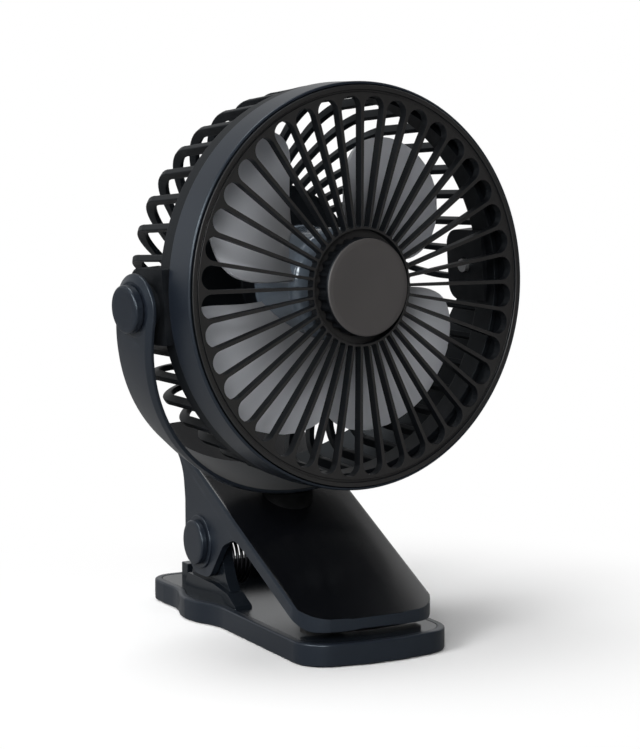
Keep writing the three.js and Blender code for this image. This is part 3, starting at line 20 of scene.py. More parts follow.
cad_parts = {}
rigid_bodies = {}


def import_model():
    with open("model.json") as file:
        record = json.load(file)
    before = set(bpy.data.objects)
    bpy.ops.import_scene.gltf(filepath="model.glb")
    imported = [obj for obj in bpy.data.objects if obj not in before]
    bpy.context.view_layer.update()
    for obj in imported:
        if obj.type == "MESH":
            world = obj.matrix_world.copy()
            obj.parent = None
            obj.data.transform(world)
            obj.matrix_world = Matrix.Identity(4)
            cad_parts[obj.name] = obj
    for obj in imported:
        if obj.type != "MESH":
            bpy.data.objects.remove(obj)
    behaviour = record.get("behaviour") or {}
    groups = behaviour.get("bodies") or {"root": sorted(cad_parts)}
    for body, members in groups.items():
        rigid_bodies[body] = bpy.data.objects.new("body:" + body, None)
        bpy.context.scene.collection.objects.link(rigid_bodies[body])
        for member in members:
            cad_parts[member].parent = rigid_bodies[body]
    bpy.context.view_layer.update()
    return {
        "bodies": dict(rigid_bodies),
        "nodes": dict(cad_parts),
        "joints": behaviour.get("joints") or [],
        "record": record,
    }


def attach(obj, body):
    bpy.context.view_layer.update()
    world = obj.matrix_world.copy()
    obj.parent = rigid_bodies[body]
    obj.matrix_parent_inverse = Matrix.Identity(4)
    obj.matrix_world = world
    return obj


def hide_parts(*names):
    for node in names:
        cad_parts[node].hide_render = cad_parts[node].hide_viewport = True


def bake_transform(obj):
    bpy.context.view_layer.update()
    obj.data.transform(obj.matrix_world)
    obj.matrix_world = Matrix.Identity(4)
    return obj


LOG = logging.getLogger("clip_fan")
MM = 0.001
FULL_TURN = 2 * math.pi
QUARTER = math.pi / 2
GAP = 0.3  # between two pieces that touch
ARC_STEP = math.radians(11)  # one facet of a rounded corner
RING_STEPS = 200  # round the head and the yoke
KNOB_STEPS = 72  # round knobs, bosses and the hub
FACE_SLANT = 0.6  # cosine of the most that a front face leans; the limit for the faces that get painted shade
HOLE_STEPS = 32  # round small holes
FLUTE_STEPS = 20  # round one flute of the cap
CAP_STEPS = 160  # round the cap
AXLE_HOLE = 2.9  # radius of the hole that a tilt axle goes through
PAST = 2  # how far a cutting tool goes past what it cuts
MERGE_DISTANCE = 1e-4  # closer vertices of a turned form become one
FLAT_TURN = math.radians(0.4)  # edges that turn by less are dissolved before the others are rounded

FLOW_SCALE = 38.0  # turns per metre of the flow mottle
GLINT_AND_WEAR_SCALE = 160.0  # turns per metre of the patches that break up the lighter edges, partly rubbing and partly painted highlight
GLINT_AND_WEAR_EDGE = (0.52, 0.6)  # pointiness at which the lighter edge, partly rubbing and partly painted highlight, starts and is full
FLOW_ROUGHNESS = 0.008  # how much the flow mottle changes the roughness
SPECK_ROUGHNESS = 0.016  # how much the grain changes the roughness
BUMP_STRENGTH = 0.6
COAT_ROUGHNESS = 0.12
GLINT_AND_WEAR_GAIN, GLINT_AND_WEAR_LIFT = 1.9, 0.01  # how much lighter a colour is on its edges, partly rubbing and partly painted highlight
HUB_SHADE_FLOOR = 0.3  # share of a colour that the painted shade towards the hub leaves at the axis
BLUE = (0.78, 0.9, 1.0)  # cold tint of the reflections on the satin moulding

Corner = tuple[float, ...]  # (across, along) or (across, along, fillet radius)
Colour = tuple[float, float, float]


class Axis(Enum):
    """The axis that a turned form goes round."""

    X = (1.0, 0.0, 0.0)
    Y = (0.0, 1.0, 0.0)
    Z = (0.0, 0.0, 1.0)


class Plane(Enum):
    """The plane that an outline is drawn in: a side view (y, z), a plan (x, y) or a front view (x, z)."""

    SIDE = "side"
    PLAN = "plan"
    FRONT = "front"


class Join(Enum):
    """How two closed forms are combined."""

    ADD = "UNION"
    CUT = "DIFFERENCE"
    KEEP = "INTERSECT"


# ---------------------------------------------------------------- where the sub-assemblies stand


@dataclass(frozen=True)
class Layout:
    """Places and angles that the sub-assemblies share, in millimetres and radians."""

    head_height: float = 132.2
    swivel_lean: float = math.radians(18.4)
    swivel_rest: float = math.radians(7.7)
    tilt_rest: float = math.radians(21.0)
    pivot_y: float = 46.6
    pivot_z: float = 29.3
    jaw_slope: float = math.radians(24.7)
    jaw_level: float = 35.6

    def lean_frame(self) -> Matrix:
        """Frame of the swivel axis, with the centre of the head as its origin."""
        return Matrix.Translation((0, 0, self.head_height)) @ Matrix.Rotation(self.swivel_lean, 4, "X")

    def yoke_frame(self) -> Matrix:
        """Frame of the yoke as it stands at rest."""
        return self.lean_frame() @ Matrix.Rotation(self.swivel_rest, 4, "Z")

    def head_frame(self) -> Matrix:
        """Frame of the head as it stands at rest."""
        return self.yoke_frame() @ Matrix.Rotation(-self.tilt_rest, 4, "X")

    def slope_frame(self) -> Matrix:
        """Frame that lies on the sloping face of the upper jaw, with y up the slope."""
        return Matrix.Translation((0, 0, self.jaw_level)) @ Matrix.Rotation(self.jaw_slope, 4, "X")

    def slope_at(self, y: float) -> float:
        """Height of the sloping face at a distance behind the origin."""
        return self.jaw_level + math.tan(self.jaw_slope) * y

    def below(self, thickness: float) -> float:
        """Upright depth of a layer that is this thick, square to the slope."""
        return thickness / math.cos(self.jaw_slope)

    def under_slope(self, y: float, thickness: float) -> float:
        """Height of the underside of a layer that is this thick, under the sloping face."""
        return self.slope_at(y) - self.below(thickness)


LAYOUT = Layout()
UPRIGHT = Matrix.Identity(4)


# ---------------------------------------------------------------- forms


def picked(items: Sequence[object], kind: type) -> list:
    """The items of one kind, out of what an operator gives back."""
    return [item for item in items if isinstance(item, kind)]


def heading(places: Sequence[Vector], i: int) -> Vector:
    """The direction of a line of places at one of them."""
    return (places[min(i + 1, len(places) - 1)] - places[max(i - 1, 0)]).normalized()


def frame_of(side: Vector, along: Vector, depth: Vector, place: Vector) -> Matrix:
    """The frame with these three directions as its axes, at a place."""
    frame = Matrix((side, along, depth)).transposed().to_4x4()
    frame.translation = place
    return frame


class Form:
    """A closed shape in millimetres, made with the bmesh operators."""

    def __init__(self) -> None:
        """Starts an empty form."""
        self.bm = bmesh.new()

    # -- outlines

    def _round(self, verts: list[bmesh.types.BMVert], corners: Sequence[Corner], closed: bool) -> None:
        """Rounds the corners of a chain or a face that carry a fillet radius.

        Args:
            verts: the vertices at the corners.
            corners: the corners, each with an optional fillet radius as its third number.
            closed: whether the last corner is joined to the first.
        """
        count = len(corners)
        places = [vert.co.copy() for vert in verts]
        for i, corner in enumerate(corners):
            if len(corner) < 3 or corner[2] <= 0 or (not closed and i in (0, count - 1)):
                continue
            back = (places[i - 1] - places[i]).normalized()
            onward = (places[(i + 1) % count] - places[i]).normalized()
            turn = math.pi - back.angle(onward)
            reach = corner[2] * math.tan(turn / 2)
            bmesh.ops.bevel(
                self.bm, geom=[verts[i]], offset=reach, offset_type="OFFSET", affect="VERTICES",
                segments=max(1, math.ceil(turn / ARC_STEP)), profile=0.5, material=-1, clamp_overlap=False,
            )

    def outline(self, corners: Sequence[Corner], plane: Plane, level: float) -> bmesh.types.BMFace:
        """One flat face with rounded corners.

        Args:
            corners: its corners in the plane.
            plane: the plane that they are drawn in.
            level: the third coordinate.

        Returns:
            The face.
        """
        place = {
            Plane.SIDE: lambda a, b: (level, a, b),
            Plane.PLAN: lambda a, b: (a, b, level),
            Plane.FRONT: lambda a, b: (a, level, b),
        }[plane]
        verts = [self.bm.verts.new(place(corner[0], corner[1])) for corner in corners]
        others = set(self.bm.faces)
        self.bm.faces.new(verts)
        self._round(verts, corners, closed=True)
        return next(face for face in self.bm.faces if face not in others)

    # -- solids

    def prism(self, corners: Sequence[Corner], plane: Plane, start: float, end: float) -> Form:
        """A flat outline drawn out from one level to another.

        Args:
            corners: the corners of the outline.
            plane: the plane that they are drawn in.
            start: the level of one end.
            end: the level of the other end.

        Returns:
            This form.
        """
        face = self.outline(corners, plane, start)
        axis = {Plane.SIDE: Axis.X, Plane.PLAN: Axis.Z, Plane.FRONT: Axis.Y}[plane]
        return self.drawn_out(face, Vector(axis.value) * (end - start))

    def drawn_out(self, face: bmesh.types.BMFace, step: Vector) -> Form:
        """Extrudes the only face of the form by a step."""
        grown = bmesh.ops.extrude_face_region(self.bm, geom=[face])["geom"]
        bmesh.ops.translate(self.bm, verts=picked(grown, bmesh.types.BMVert), vec=step)
        self.outward()
        return self

    def turned(
        self, corners: Sequence[Corner], axis: Axis = Axis.Y, steps: int = RING_STEPS, closed: bool = True,
        angle: float = FULL_TURN,
    ) -> Form:
        """A form turned round an axis from its half section.

        Args:
            corners: (radius, distance along the axis) of each corner, with an optional fillet.
            axis: the axis that it goes round.
            steps: the number of facets in the turn.
            closed: whether the section closes on itself, or runs from the axis to the axis.
            angle: how far round it goes.

        Returns:
            This form.
        """
        place = {
            Axis.X: lambda r, a: (a, 0, r),
            Axis.Y: lambda r, a: (r, a, 0),
            Axis.Z: lambda r, a: (r, 0, a),
        }[axis]
        verts = [self.bm.verts.new(place(corner[0], corner[1])) for corner in corners]
        pairs = list(zip(verts, verts[1:])) + ([(verts[-1], verts[0])] if closed else [])
        before = set(self.bm.verts) - set(verts)
        for pair in pairs:
            self.bm.edges.new(pair)
        self._round(verts, corners, closed)
        section = [vert for vert in self.bm.verts if vert not in before]
        edges = list(dict.fromkeys(edge for vert in section for edge in vert.link_edges))
        bmesh.ops.spin(
            self.bm, geom=section + edges, cent=(0, 0, 0), axis=axis.value, dvec=(0, 0, 0), angle=angle,
            steps=steps, use_merge=angle >= FULL_TURN, use_duplicate=False,
        )
        bmesh.ops.remove_doubles(self.bm, verts=self.bm.verts, dist=MERGE_DISTANCE)
        self.outward()
        return self

    def disc(self, radius: float, start: float, end: float, axis: Axis, steps: int = KNOB_STEPS) -> Form:
        """A plain round bar between two places on an axis, as a tool for a bore."""
        return self.turned([(0, start), (radius, start), (radius, end), (0, end)], axis, steps, closed=False)

    def swept(self, section: Sequence[Corner], frames: Sequence[Matrix]) -> Form:
        """A section carried along a row of frames, with a cap at each end.

        Args:
            section: corners in the x and z of the frames, with optional fillets.
            frames: where the section lies, one after another.

        Returns:
            This form.
        """
        face = self.outline(section, Plane.FRONT, 0)
        bmesh.ops.transform(self.bm, matrix=frames[0], verts=list(face.verts))
        for here, onward in zip(frames, frames[1:]):
            grown = bmesh.ops.extrude_face_region(self.bm, geom=[face])["geom"]
            face = picked(grown, bmesh.types.BMFace)[0]
            bmesh.ops.transform(self.bm, matrix=onward @ here.inverted(), verts=list(face.verts))
        self.outward()
        return self

    def outward(self) -> None:
        """Turns every face outwards."""
        bmesh.ops.recalc_face_normals(self.bm, faces=self.bm.faces)

    # -- changes

    def _everything(self) -> list:
        """All the vertices, edges and faces of the form."""
        return list(self.bm.verts) + list(self.bm.edges) + list(self.bm.faces)

    def placed(self, matrix: Matrix) -> Form:
        """Moves the whole form by a matrix."""
        bmesh.ops.transform(self.bm, matrix=matrix, verts=self.bm.verts)
        return self

    def sliced(self, axis: Axis, places: Sequence[float]) -> Form:
        """Divides the faces along planes square to an axis, so that none is too large to cut cleanly.

        Args:
            axis: the axis.
            places: where the planes cross it.

        Returns:
            This form.
        """
        for place in places:
            normal = Vector(axis.value)
            bmesh.ops.bisect_plane(self.bm, geom=self._everything(), plane_co=normal * place, plane_no=normal)
        return self

    def repeated(self, count: int, axis: Axis = Axis.Y) -> Form:
        """Copies the form round an axis until there are so many, evenly spread."""
        geometry = self._everything()
        for i in range(1, count):
            copy = bmesh.ops.duplicate(self.bm, geom=geometry)["geom"]
            bmesh.ops.rotate(
                self.bm, verts=picked(copy, bmesh.types.BMVert), cent=(0, 0, 0),
                matrix=Matrix.Rotation(FULL_TURN * i / count, 3, Vector(axis.value)),
            )
        return self

    def mirrored(self) -> Form:
        """Adds the mirror image at -X."""
        copy = bmesh.ops.duplicate(self.bm, geom=self._everything())["geom"]
        bmesh.ops.scale(self.bm, vec=(-1, 1, 1), verts=picked(copy, bmesh.types.BMVert))
        bmesh.ops.reverse_faces(self.bm, faces=picked(copy, bmesh.types.BMFace))
        return self

    def combined(self, other: Form, how: Join) -> Form:
        """Adds, cuts or keeps what is shared with another closed form.

        Args:
            other: the second form.
            how: the kind of combination.

        Returns:
            This form.
        """
        base, tool = self._object("base"), other._object("tool")
        step = base.modifiers.new("combine", "BOOLEAN")
        step.operation = how.value
        step.solver = "MANIFOLD"
        step.object = tool
        graph = bpy.context.evaluated_depsgraph_get()
        result = bpy.data.meshes.new_from_object(base.evaluated_get(graph))
        self.bm.clear()
        self.bm.from_mesh(result)
        for item in (base, tool):
            data = item.data
            bpy.data.objects.remove(item)
            bpy.data.meshes.remove(data)
        bpy.data.meshes.remove(result)
        return self

    def _object(self, name: str) -> bpy.types.Object:
        """A loose object of this form, linked to the scene."""
        mesh = bpy.data.meshes.new(name)
        self.bm.to_mesh(mesh)
        item = bpy.data.objects.new(name, mesh)
        bpy.context.scene.collection.objects.link(item)
        return item

    def softened(self, offset: float, segments: int = 2, angle: float = math.radians(35)) -> Form:
        """Rounds every edge that turns by more than an angle.

        Args:
            offset: the width taken off on each side of an edge.
            segments: facets across the rounding.
            angle: the least turn of an edge that is rounded.

        Returns:
            This form.
        """
        bmesh.ops.dissolve_limit(self.bm, angle_limit=FLAT_TURN, verts=self.bm.verts, edges=self.bm.edges)
        sharp = [edge for edge in self.bm.edges if edge.is_manifold and edge.calc_face_angle(0) > angle]
        bmesh.ops.bevel(
            self.bm, geom=sharp, offset=offset, offset_type="OFFSET", affect="EDGES", segments=segments,
            profile=0.5, material=-1, clamp_overlap=True, loop_slide=True,
        )
        return self

    # -- the finished piece

    def piece(self, name: str, frame: Matrix, smooth: float = 32.0) -> bpy.types.Object:
        """The finished piece, in metres in the frame of the model, with its object at the origin.

        Args:
            name: the name of the piece.
            frame: where the form stands, in millimetres.
            smooth: edges that turn by more degrees than this stay sharp.

        Returns:
            The new object.
        """
        bmesh.ops.transform(self.bm, matrix=Matrix.Scale(MM, 4) @ frame, verts=self.bm.verts)
        for face in self.bm.faces:
            face.smooth = True
        item = self._object(name)
        item.data.set_sharp_from_angle(angle=math.radians(smooth))
        weighted = item.modifiers.new("even_normals", "WEIGHTED_NORMAL")
        weighted.keep_sharp = True
        self.bm.free()
        return item


# ---------------------------------------------------------------- finishes


class Nodes:
    """A short way to build the nodes of a material or a group."""

    def __init__(self, tree: bpy.types.NodeTree) -> None:
        """Starts on an emptied tree."""
        self.tree = tree
        tree.nodes.clear()

    def add(self, kind: str, **settings: object) -> bpy.types.Node:
        """Adds a node and sets its own settings."""
        node = self.tree.nodes.new(kind)
        for key, value in settings.items():
            setattr(node, key, value)
        return node

    def link(self, source: bpy.types.NodeSocket, target: bpy.types.NodeSocket) -> None:
        """Joins two sockets."""
        self.tree.links.new(source, target)

    def noise(self, place: bpy.types.NodeSocket, scale: float, detail: float) -> bpy.types.NodeSocket:
        """A noise over the object, in turns per metre, as its factor."""
        node = self.add("ShaderNodeTexNoise")
        node.inputs["Scale"].default_value = scale
        node.inputs["Detail"].default_value = detail
        self.link(place, node.inputs["Vector"])
        return node.outputs["Fac"]

    def ramp(
        self, value: bpy.types.NodeSocket, low: float, high: float, start: float, end: float,
    ) -> bpy.types.NodeSocket:
        """Maps a value from one range to another, held at its ends.

        Args:
            value: the value.
            low: where its range starts.
            high: where its range ends.
            start: what the low end becomes.
            end: what the high end becomes.

        Returns:
            The mapped value.
        """
        node = self.add("ShaderNodeMapRange", interpolation_type="SMOOTHSTEP")
        for key, number in (("From Min", low), ("From Max", high), ("To Min", start), ("To Max", end)):
            node.inputs[key].default_value = number
        self.link(value, node.inputs["Value"])
        return node.outputs["Result"]

    def math(self, operation: str, first: bpy.types.NodeSocket, second: object) -> bpy.types.NodeSocket:
        """One sum of a socket with a number or another socket."""
        node = self.add("ShaderNodeMath", operation=operation)
        self.link(first, node.inputs[0])
        if isinstance(second, float):
            node.inputs[1].default_value = second
        else:
            self.link(second, node.inputs[1])
        return node.outputs[0]


def moulded_group() -> bpy.types.NodeTree:
    """The fine surface of a moulded piece: texture of the tool, flow mottle and lighter edges in patches,
    partly rubbing and partly painted highlight.

    Returns:
        The node group, built once.
    """
    found = bpy.data.node_groups.get("moulded_surface")
    if found:
        return found
    tree = bpy.data.node_groups.new("moulded_surface", "ShaderNodeTree")
    for name, kind in (
        ("Base Color", "NodeSocketColor"), ("Glint And Wear Color", "NodeSocketColor"),
        ("Roughness", "NodeSocketFloat"), ("Grain Size", "NodeSocketFloat"), ("Grain", "NodeSocketFloat"),
        ("Mottle", "NodeSocketFloat"), ("Glint And Wear", "NodeSocketFloat"),
    ):
        tree.interface.new_socket(name=name, in_out="INPUT", socket_type=kind)
    for name, kind in (
        ("Color", "NodeSocketColor"), ("Roughness", "NodeSocketFloat"), ("Height", "NodeSocketFloat"),
    ):
        tree.interface.new_socket(name=name, in_out="OUTPUT", socket_type=kind)
    nodes = Nodes(tree)
    given = nodes.add("NodeGroupInput")
    result = nodes.add("NodeGroupOutput")
    place = nodes.add("ShaderNodeTexCoord").outputs["Object"]
    texture = nodes.add("ShaderNodeTexNoise")
    texture.inputs["Detail"].default_value = 2.0
    nodes.link(place, texture.inputs["Vector"])
    nodes.link(given.outputs["Grain Size"], texture.inputs["Scale"])
    flow = nodes.ramp(nodes.noise(place, FLOW_SCALE, 3.0), 0.3, 0.7, -1.0, 1.0)
    # lighter edges in patches: partly rubbing, partly a painted highlight on the edges
    edge = nodes.ramp(nodes.add("ShaderNodeNewGeometry").outputs["Pointiness"], *GLINT_AND_WEAR_EDGE, 0.0, 1.0)
    patches = nodes.ramp(nodes.noise(place, GLINT_AND_WEAR_SCALE, 4.0), 0.35, 0.65, 0.2, 1.0)
    glint_and_wear_mask = nodes.math("MULTIPLY", nodes.math("MULTIPLY", edge, patches), given.outputs["Glint And Wear"])
    shade = nodes.math("ADD", nodes.math("MULTIPLY", flow, given.outputs["Mottle"]), 1.0)
    lighter = nodes.add("ShaderNodeVectorMath", operation="SCALE")
    nodes.link(given.outputs["Base Color"], lighter.inputs[0])
    nodes.link(shade, lighter.inputs["Scale"])
    mixed = nodes.add("ShaderNodeMix", data_type="RGBA")
    nodes.link(glint_and_wear_mask, mixed.inputs["Factor"])
    nodes.link(lighter.outputs[0], mixed.inputs["A"])
    nodes.link(given.outputs["Glint And Wear Color"], mixed.inputs["B"])
    nodes.link(mixed.outputs["Result"], result.inputs["Color"])
    rough = nodes.math("ADD", given.outputs["Roughness"], nodes.math("MULTIPLY", flow, FLOW_ROUGHNESS))
    speck = nodes.ramp(texture.outputs["Fac"], 0.35, 0.65, -0.5, 0.5)
    speck = nodes.math("MULTIPLY", speck, SPECK_ROUGHNESS)
    nodes.link(nodes.math("ADD", rough, speck), result.inputs["Roughness"])
    height = nodes.math("MULTIPLY", texture.outputs["Fac"], given.outputs["Grain"])
    nodes.link(height, result.inputs["Height"])
    return tree


@dataclass(frozen=True)
class Finish:
    """One procedural finish: colours are linear, sizes are in millimetres."""

    name: str
    colour: Colour
    roughness: float
    # colour of the lighter edges, partly rubbing and partly painted highlight
    glint_and_wear_colour: Colour | None = None
    grain_mm: float = 0.35
    grain: float = 0.5
    mottle: float = 0.06
    # how strongly the lighter edges show: painted edge highlight and rubbing
    glint_and_wear: float = 0.5
    metal: float = 0.0
    coat: float = 0.0
    ior: float = 1.5
    bump_mm: float = 0.02
    clear: float = 0.0
    sheen: Colour = (1.0, 1.0, 1.0)
    hub_shade_mm: tuple[float, float] | None = None

    def material(self) -> bpy.types.Material:
        """Builds the material, or finds it if it is there.

        Returns:
            The material.
        """
        found = bpy.data.materials.get(self.name)
        if found:
            return found
        material = bpy.data.materials.new(self.name)
        material.use_nodes = True
        nodes = Nodes(material.node_tree)
        out = nodes.add("ShaderNodeOutputMaterial")
        shader = nodes.add("ShaderNodeBsdfPrincipled")
        surface = nodes.add("ShaderNodeGroup", node_tree=moulded_group())
        # edges lighter than the colour: painted edge highlight and rubbing
        glint_and_wear_colour = self.glint_and_wear_colour or tuple(min(1.0, part * GLINT_AND_WEAR_GAIN + GLINT_AND_WEAR_LIFT) for part in self.colour)
        surface.inputs["Base Color"].default_value = (*self.colour, 1.0)
        surface.inputs["Glint And Wear Color"].default_value = (*glint_and_wear_colour, 1.0)
        surface.inputs["Roughness"].default_value = self.roughness
        surface.inputs["Grain Size"].default_value = 1.0 / (self.grain_mm * MM)
        surface.inputs["Grain"].default_value = self.grain
        surface.inputs["Mottle"].default_value = self.mottle
        surface.inputs["Glint And Wear"].default_value = self.glint_and_wear
        bump = nodes.add("ShaderNodeBump")
        bump.inputs["Strength"].default_value = BUMP_STRENGTH
        bump.inputs["Distance"].default_value = self.bump_mm * MM
        colour = surface.outputs["Color"]
        # painted shade: the colour darkens towards the hub
        if self.hub_shade_mm:
            colour = self._hub_shaded(nodes, colour)
        nodes.link(colour, shader.inputs["Base Color"])
        nodes.link(surface.outputs["Roughness"], shader.inputs["Roughness"])
        nodes.link(surface.outputs["Height"], bump.inputs["Height"])
        nodes.link(bump.outputs["Normal"], shader.inputs["Normal"])
        shader.inputs["Metallic"].default_value = self.metal
        shader.inputs["IOR"].default_value = self.ior
        shader.inputs["Coat Weight"].default_value = self.coat
        shader.inputs["Coat Roughness"].default_value = COAT_ROUGHNESS
        shader.inputs["Transmission Weight"].default_value = self.clear
        shader.inputs["Specular Tint"].default_value = (*self.sheen, 1.0)
        nodes.link(shader.outputs[0], out.inputs["Surface"])
        return material

    def _hub_shaded(self, nodes: Nodes, colour: bpy.types.NodeSocket) -> bpy.types.NodeSocket:
        """Paints shade on a colour, darker towards the axis of the head.

        Args:
            nodes: the nodes of the material.
            colour: the colour.

        Returns:
            The colour with the painted shade.
        """
        head = LAYOUT.head_frame()
        turned = nodes.add("ShaderNodeMapping", vector_type="TEXTURE")
        turned.inputs["Location"].default_value = head.translation * MM
        turned.inputs["Rotation"].default_value = head.to_euler()
        flat = nodes.add("ShaderNodeVectorMath", operation="MULTIPLY")
        flat.inputs[1].default_value = (1, 0, 1)
        reach = nodes.add("ShaderNodeVectorMath", operation="LENGTH")
        nodes.link(nodes.add("ShaderNodeTexCoord").outputs["Object"], turned.inputs["Vector"])
        nodes.link(turned.outputs[0], flat.inputs[0])
        nodes.link(flat.outputs[0], reach.inputs[0])
        start, end = (radius * MM for radius in self.hub_shade_mm)
        shade = nodes.add("ShaderNodeVectorMath", operation="SCALE")
        nodes.link(colour, shade.inputs[0])
        nodes.link(nodes.ramp(reach.outputs["Value"], start, end, HUB_SHADE_FLOOR, 1.0), shade.inputs["Scale"])
        return shade.outputs[0]


class Finishes:
    """The finishes of the fan."""

    satin = Finish("satin_black_moulding", (0.009, 0.012, 0.018), 0.34, grain_mm=0.28, grain=0.8, sheen=BLUE)
    warm = Finish("warm_black_moulding", (0.016, 0.0155, 0.0155), 0.38, grain_mm=0.22, grain=0.8)
    cap = Finish("cap_face", (0.058, 0.054, 0.053), 0.5, grain_mm=0.2, grain=1.0, glint_and_wear=0.2)
    panel = Finish(
        "panel_gloss", (0.0026, 0.003, 0.004), 0.24, grain_mm=3.0, grain=0.05, mottle=0.03, glint_and_wear=0.0,
    )
    deck = Finish("deck_gloss", (0.006, 0.008, 0.011), 0.2, grain_mm=1.2, grain=0.3, ior=1.42, sheen=BLUE)
    # smoke blades: the white edges are a painted highlight, and the colour darkens towards the hub as painted
    # shade
    smoke = Finish(
        "smoke_blade", (0.74, 0.76, 0.8), 0.4, glint_and_wear_colour=(1.0, 1.0, 1.0), grain_mm=0.6, grain=0.3, mottle=0.04,
        glint_and_wear=1.0, clear=0.45, hub_shade_mm=(22.0, 48.0),
    )
    hub = Finish("hub_gloss", (0.11, 0.135, 0.165), 0.14, grain_mm=1.0, grain=0.2, coat=0.6, sheen=BLUE)
    # darker copy of the moulding: painted shade on inner faces, slot walls, the inside of the strap and the
    # whole cage
    painted_shade = Finish(
        "painted_shade_moulding", (0.003, 0.0035, 0.0045), 0.48, grain_mm=0.3, grain=0.8, ior=1.34, sheen=BLUE,
    )
    # darkest copy of the moulding: painted deep shade on the swivel collar and the stem
    painted_deep_shade = Finish("shaded_moulding", (0.0025, 0.0028, 0.0032), 0.7, grain_mm=0.3, grain=0.8, ior=1.15)
    rubber = Finish("black_rubber", (0.009, 0.009, 0.0095), 0.75, grain_mm=0.18, grain=1.0, mottle=0.15)
    nylon = Finish("black_nylon", (0.012, 0.012, 0.012), 0.6, grain_mm=0.2, grain=1.0)
    steel = Finish("bright_steel", (0.55, 0.56, 0.57), 0.28, grain_mm=0.1, grain=0.6, metal=1.0, glint_and_wear=0.2)
    dark_steel = Finish("black_oxide_steel", (0.045, 0.045, 0.05), 0.3, grain_mm=0.1, grain=0.8, metal=1.0)
    iron = Finish("motor_iron", (0.14, 0.12, 0.11), 0.5, grain_mm=0.12, grain=1.0, mottle=0.25, metal=1.0)
    bronze = Finish("sintered_bronze", (0.42, 0.27, 0.12), 0.45, grain_mm=0.1, grain=1.0, metal=1.0)
    board = Finish("circuit_board", (0.01, 0.09, 0.035), 0.35, grain_mm=0.5, grain=0.4, mottle=0.1)
    foil = Finish("battery_foil", (0.5, 0.51, 0.53), 0.4, grain_mm=0.9, grain=0.6, metal=0.8, glint_and_wear=0.1)
    light = Finish("light_ring_clear", (0.8, 0.84, 0.86), 0.25, grain_mm=0.4, grain=0.2, glint_and_wear=0.0)


@dataclass
class Dresser:
    """Dresses pieces and tells the frame where each belongs."""

    frame: dict

    def dress(
        self, item: bpy.types.Object, finish: Finish, body: str, stands_for: Sequence[str] = (),
    ) -> bpy.types.Object:
        """Gives a new piece its finish, its body and the nodes that it stands for.

        Args:
            item: the piece.
            finish: its finish.
            body: the body that it rides on.
            stands_for: the nodes that it replaces.

        Returns:
            The piece.
        """
        item.data.materials.clear()
        item.data.materials.append(finish.material())
        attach(item, body)
        if stands_for:
            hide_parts(*stands_for)
        LOG.info("%s: %d faces, rides on %s", item.name, len(item.data.polygons), body)
        return item

    def part(
        self, item: bpy.types.Object, finish: Finish, frame: Matrix, test: Callable[[Vector, Vector], bool],
    ) -> None:
        """Gives some faces of a piece another finish.

        Args:
            item: the piece.
            finish: the other finish.
            frame: the frame, in millimetres, that the faces are tested in.
            test: whether a face has the other finish, from its centre and its outward normal.
        """
        item.data.materials.append(finish.material())
        inverse = frame.inverted() @ Matrix.Scale(1 / MM, 4)
        turn = frame.inverted().to_3x3()
        for polygon in item.data.polygons:
            polygon.material_index = int(test(inverse @ polygon.center, turn @ polygon.normal))

    def keep(self, nodes: Sequence[str], finish: Finish) -> None:
        """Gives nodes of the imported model, whose shapes stay, their finish."""
        for name in nodes:
            item = self.frame["nodes"][name]
            item.data.materials.clear()
            item.data.materials.append(finish.material())
            LOG.info("%s: kept, %s", name, finish.name)


# ---------------------------------------------------------------- head


@dataclass
class Bezel:
    """The ring round the front of the head."""

    radius: float = 74.0
    front: float = -25.2
    rear: float = -12.0
    lip: float = 1.0
    wall: float = 3.0
    seat: float = -20.1

    def build(self, dresser: Dresser) -> None:
        """Builds the ring: a straight side, a fine front lip and the seat of the grille, with painted shade on
        its inner faces.
        """
        form = Form().turned([
            (self.radius - self.lip, self.front, 0.2), (self.radius, self.front, 0.8),
            (self.radius, self.rear, 0.35), (self.radius - self.wall, self.rear, 0.2),
            (self.radius - self.wall, self.seat, 0.2), (self.radius - self.lip, self.seat, 0.1),
        ])
        item = form.piece("bezel_ring", LAYOUT.head_frame())
        dresser.dress(item, Finishes.satin, "head", ["front_bezel"])
        # painted shade on the inside of the ring
        middle = self.radius - self.wall / 2
        dresser.part(
            item, Finishes.painted_shade, LAYOUT.head_frame(), lambda place, _: math.hypot(place.x, place.z) < middle,
        )


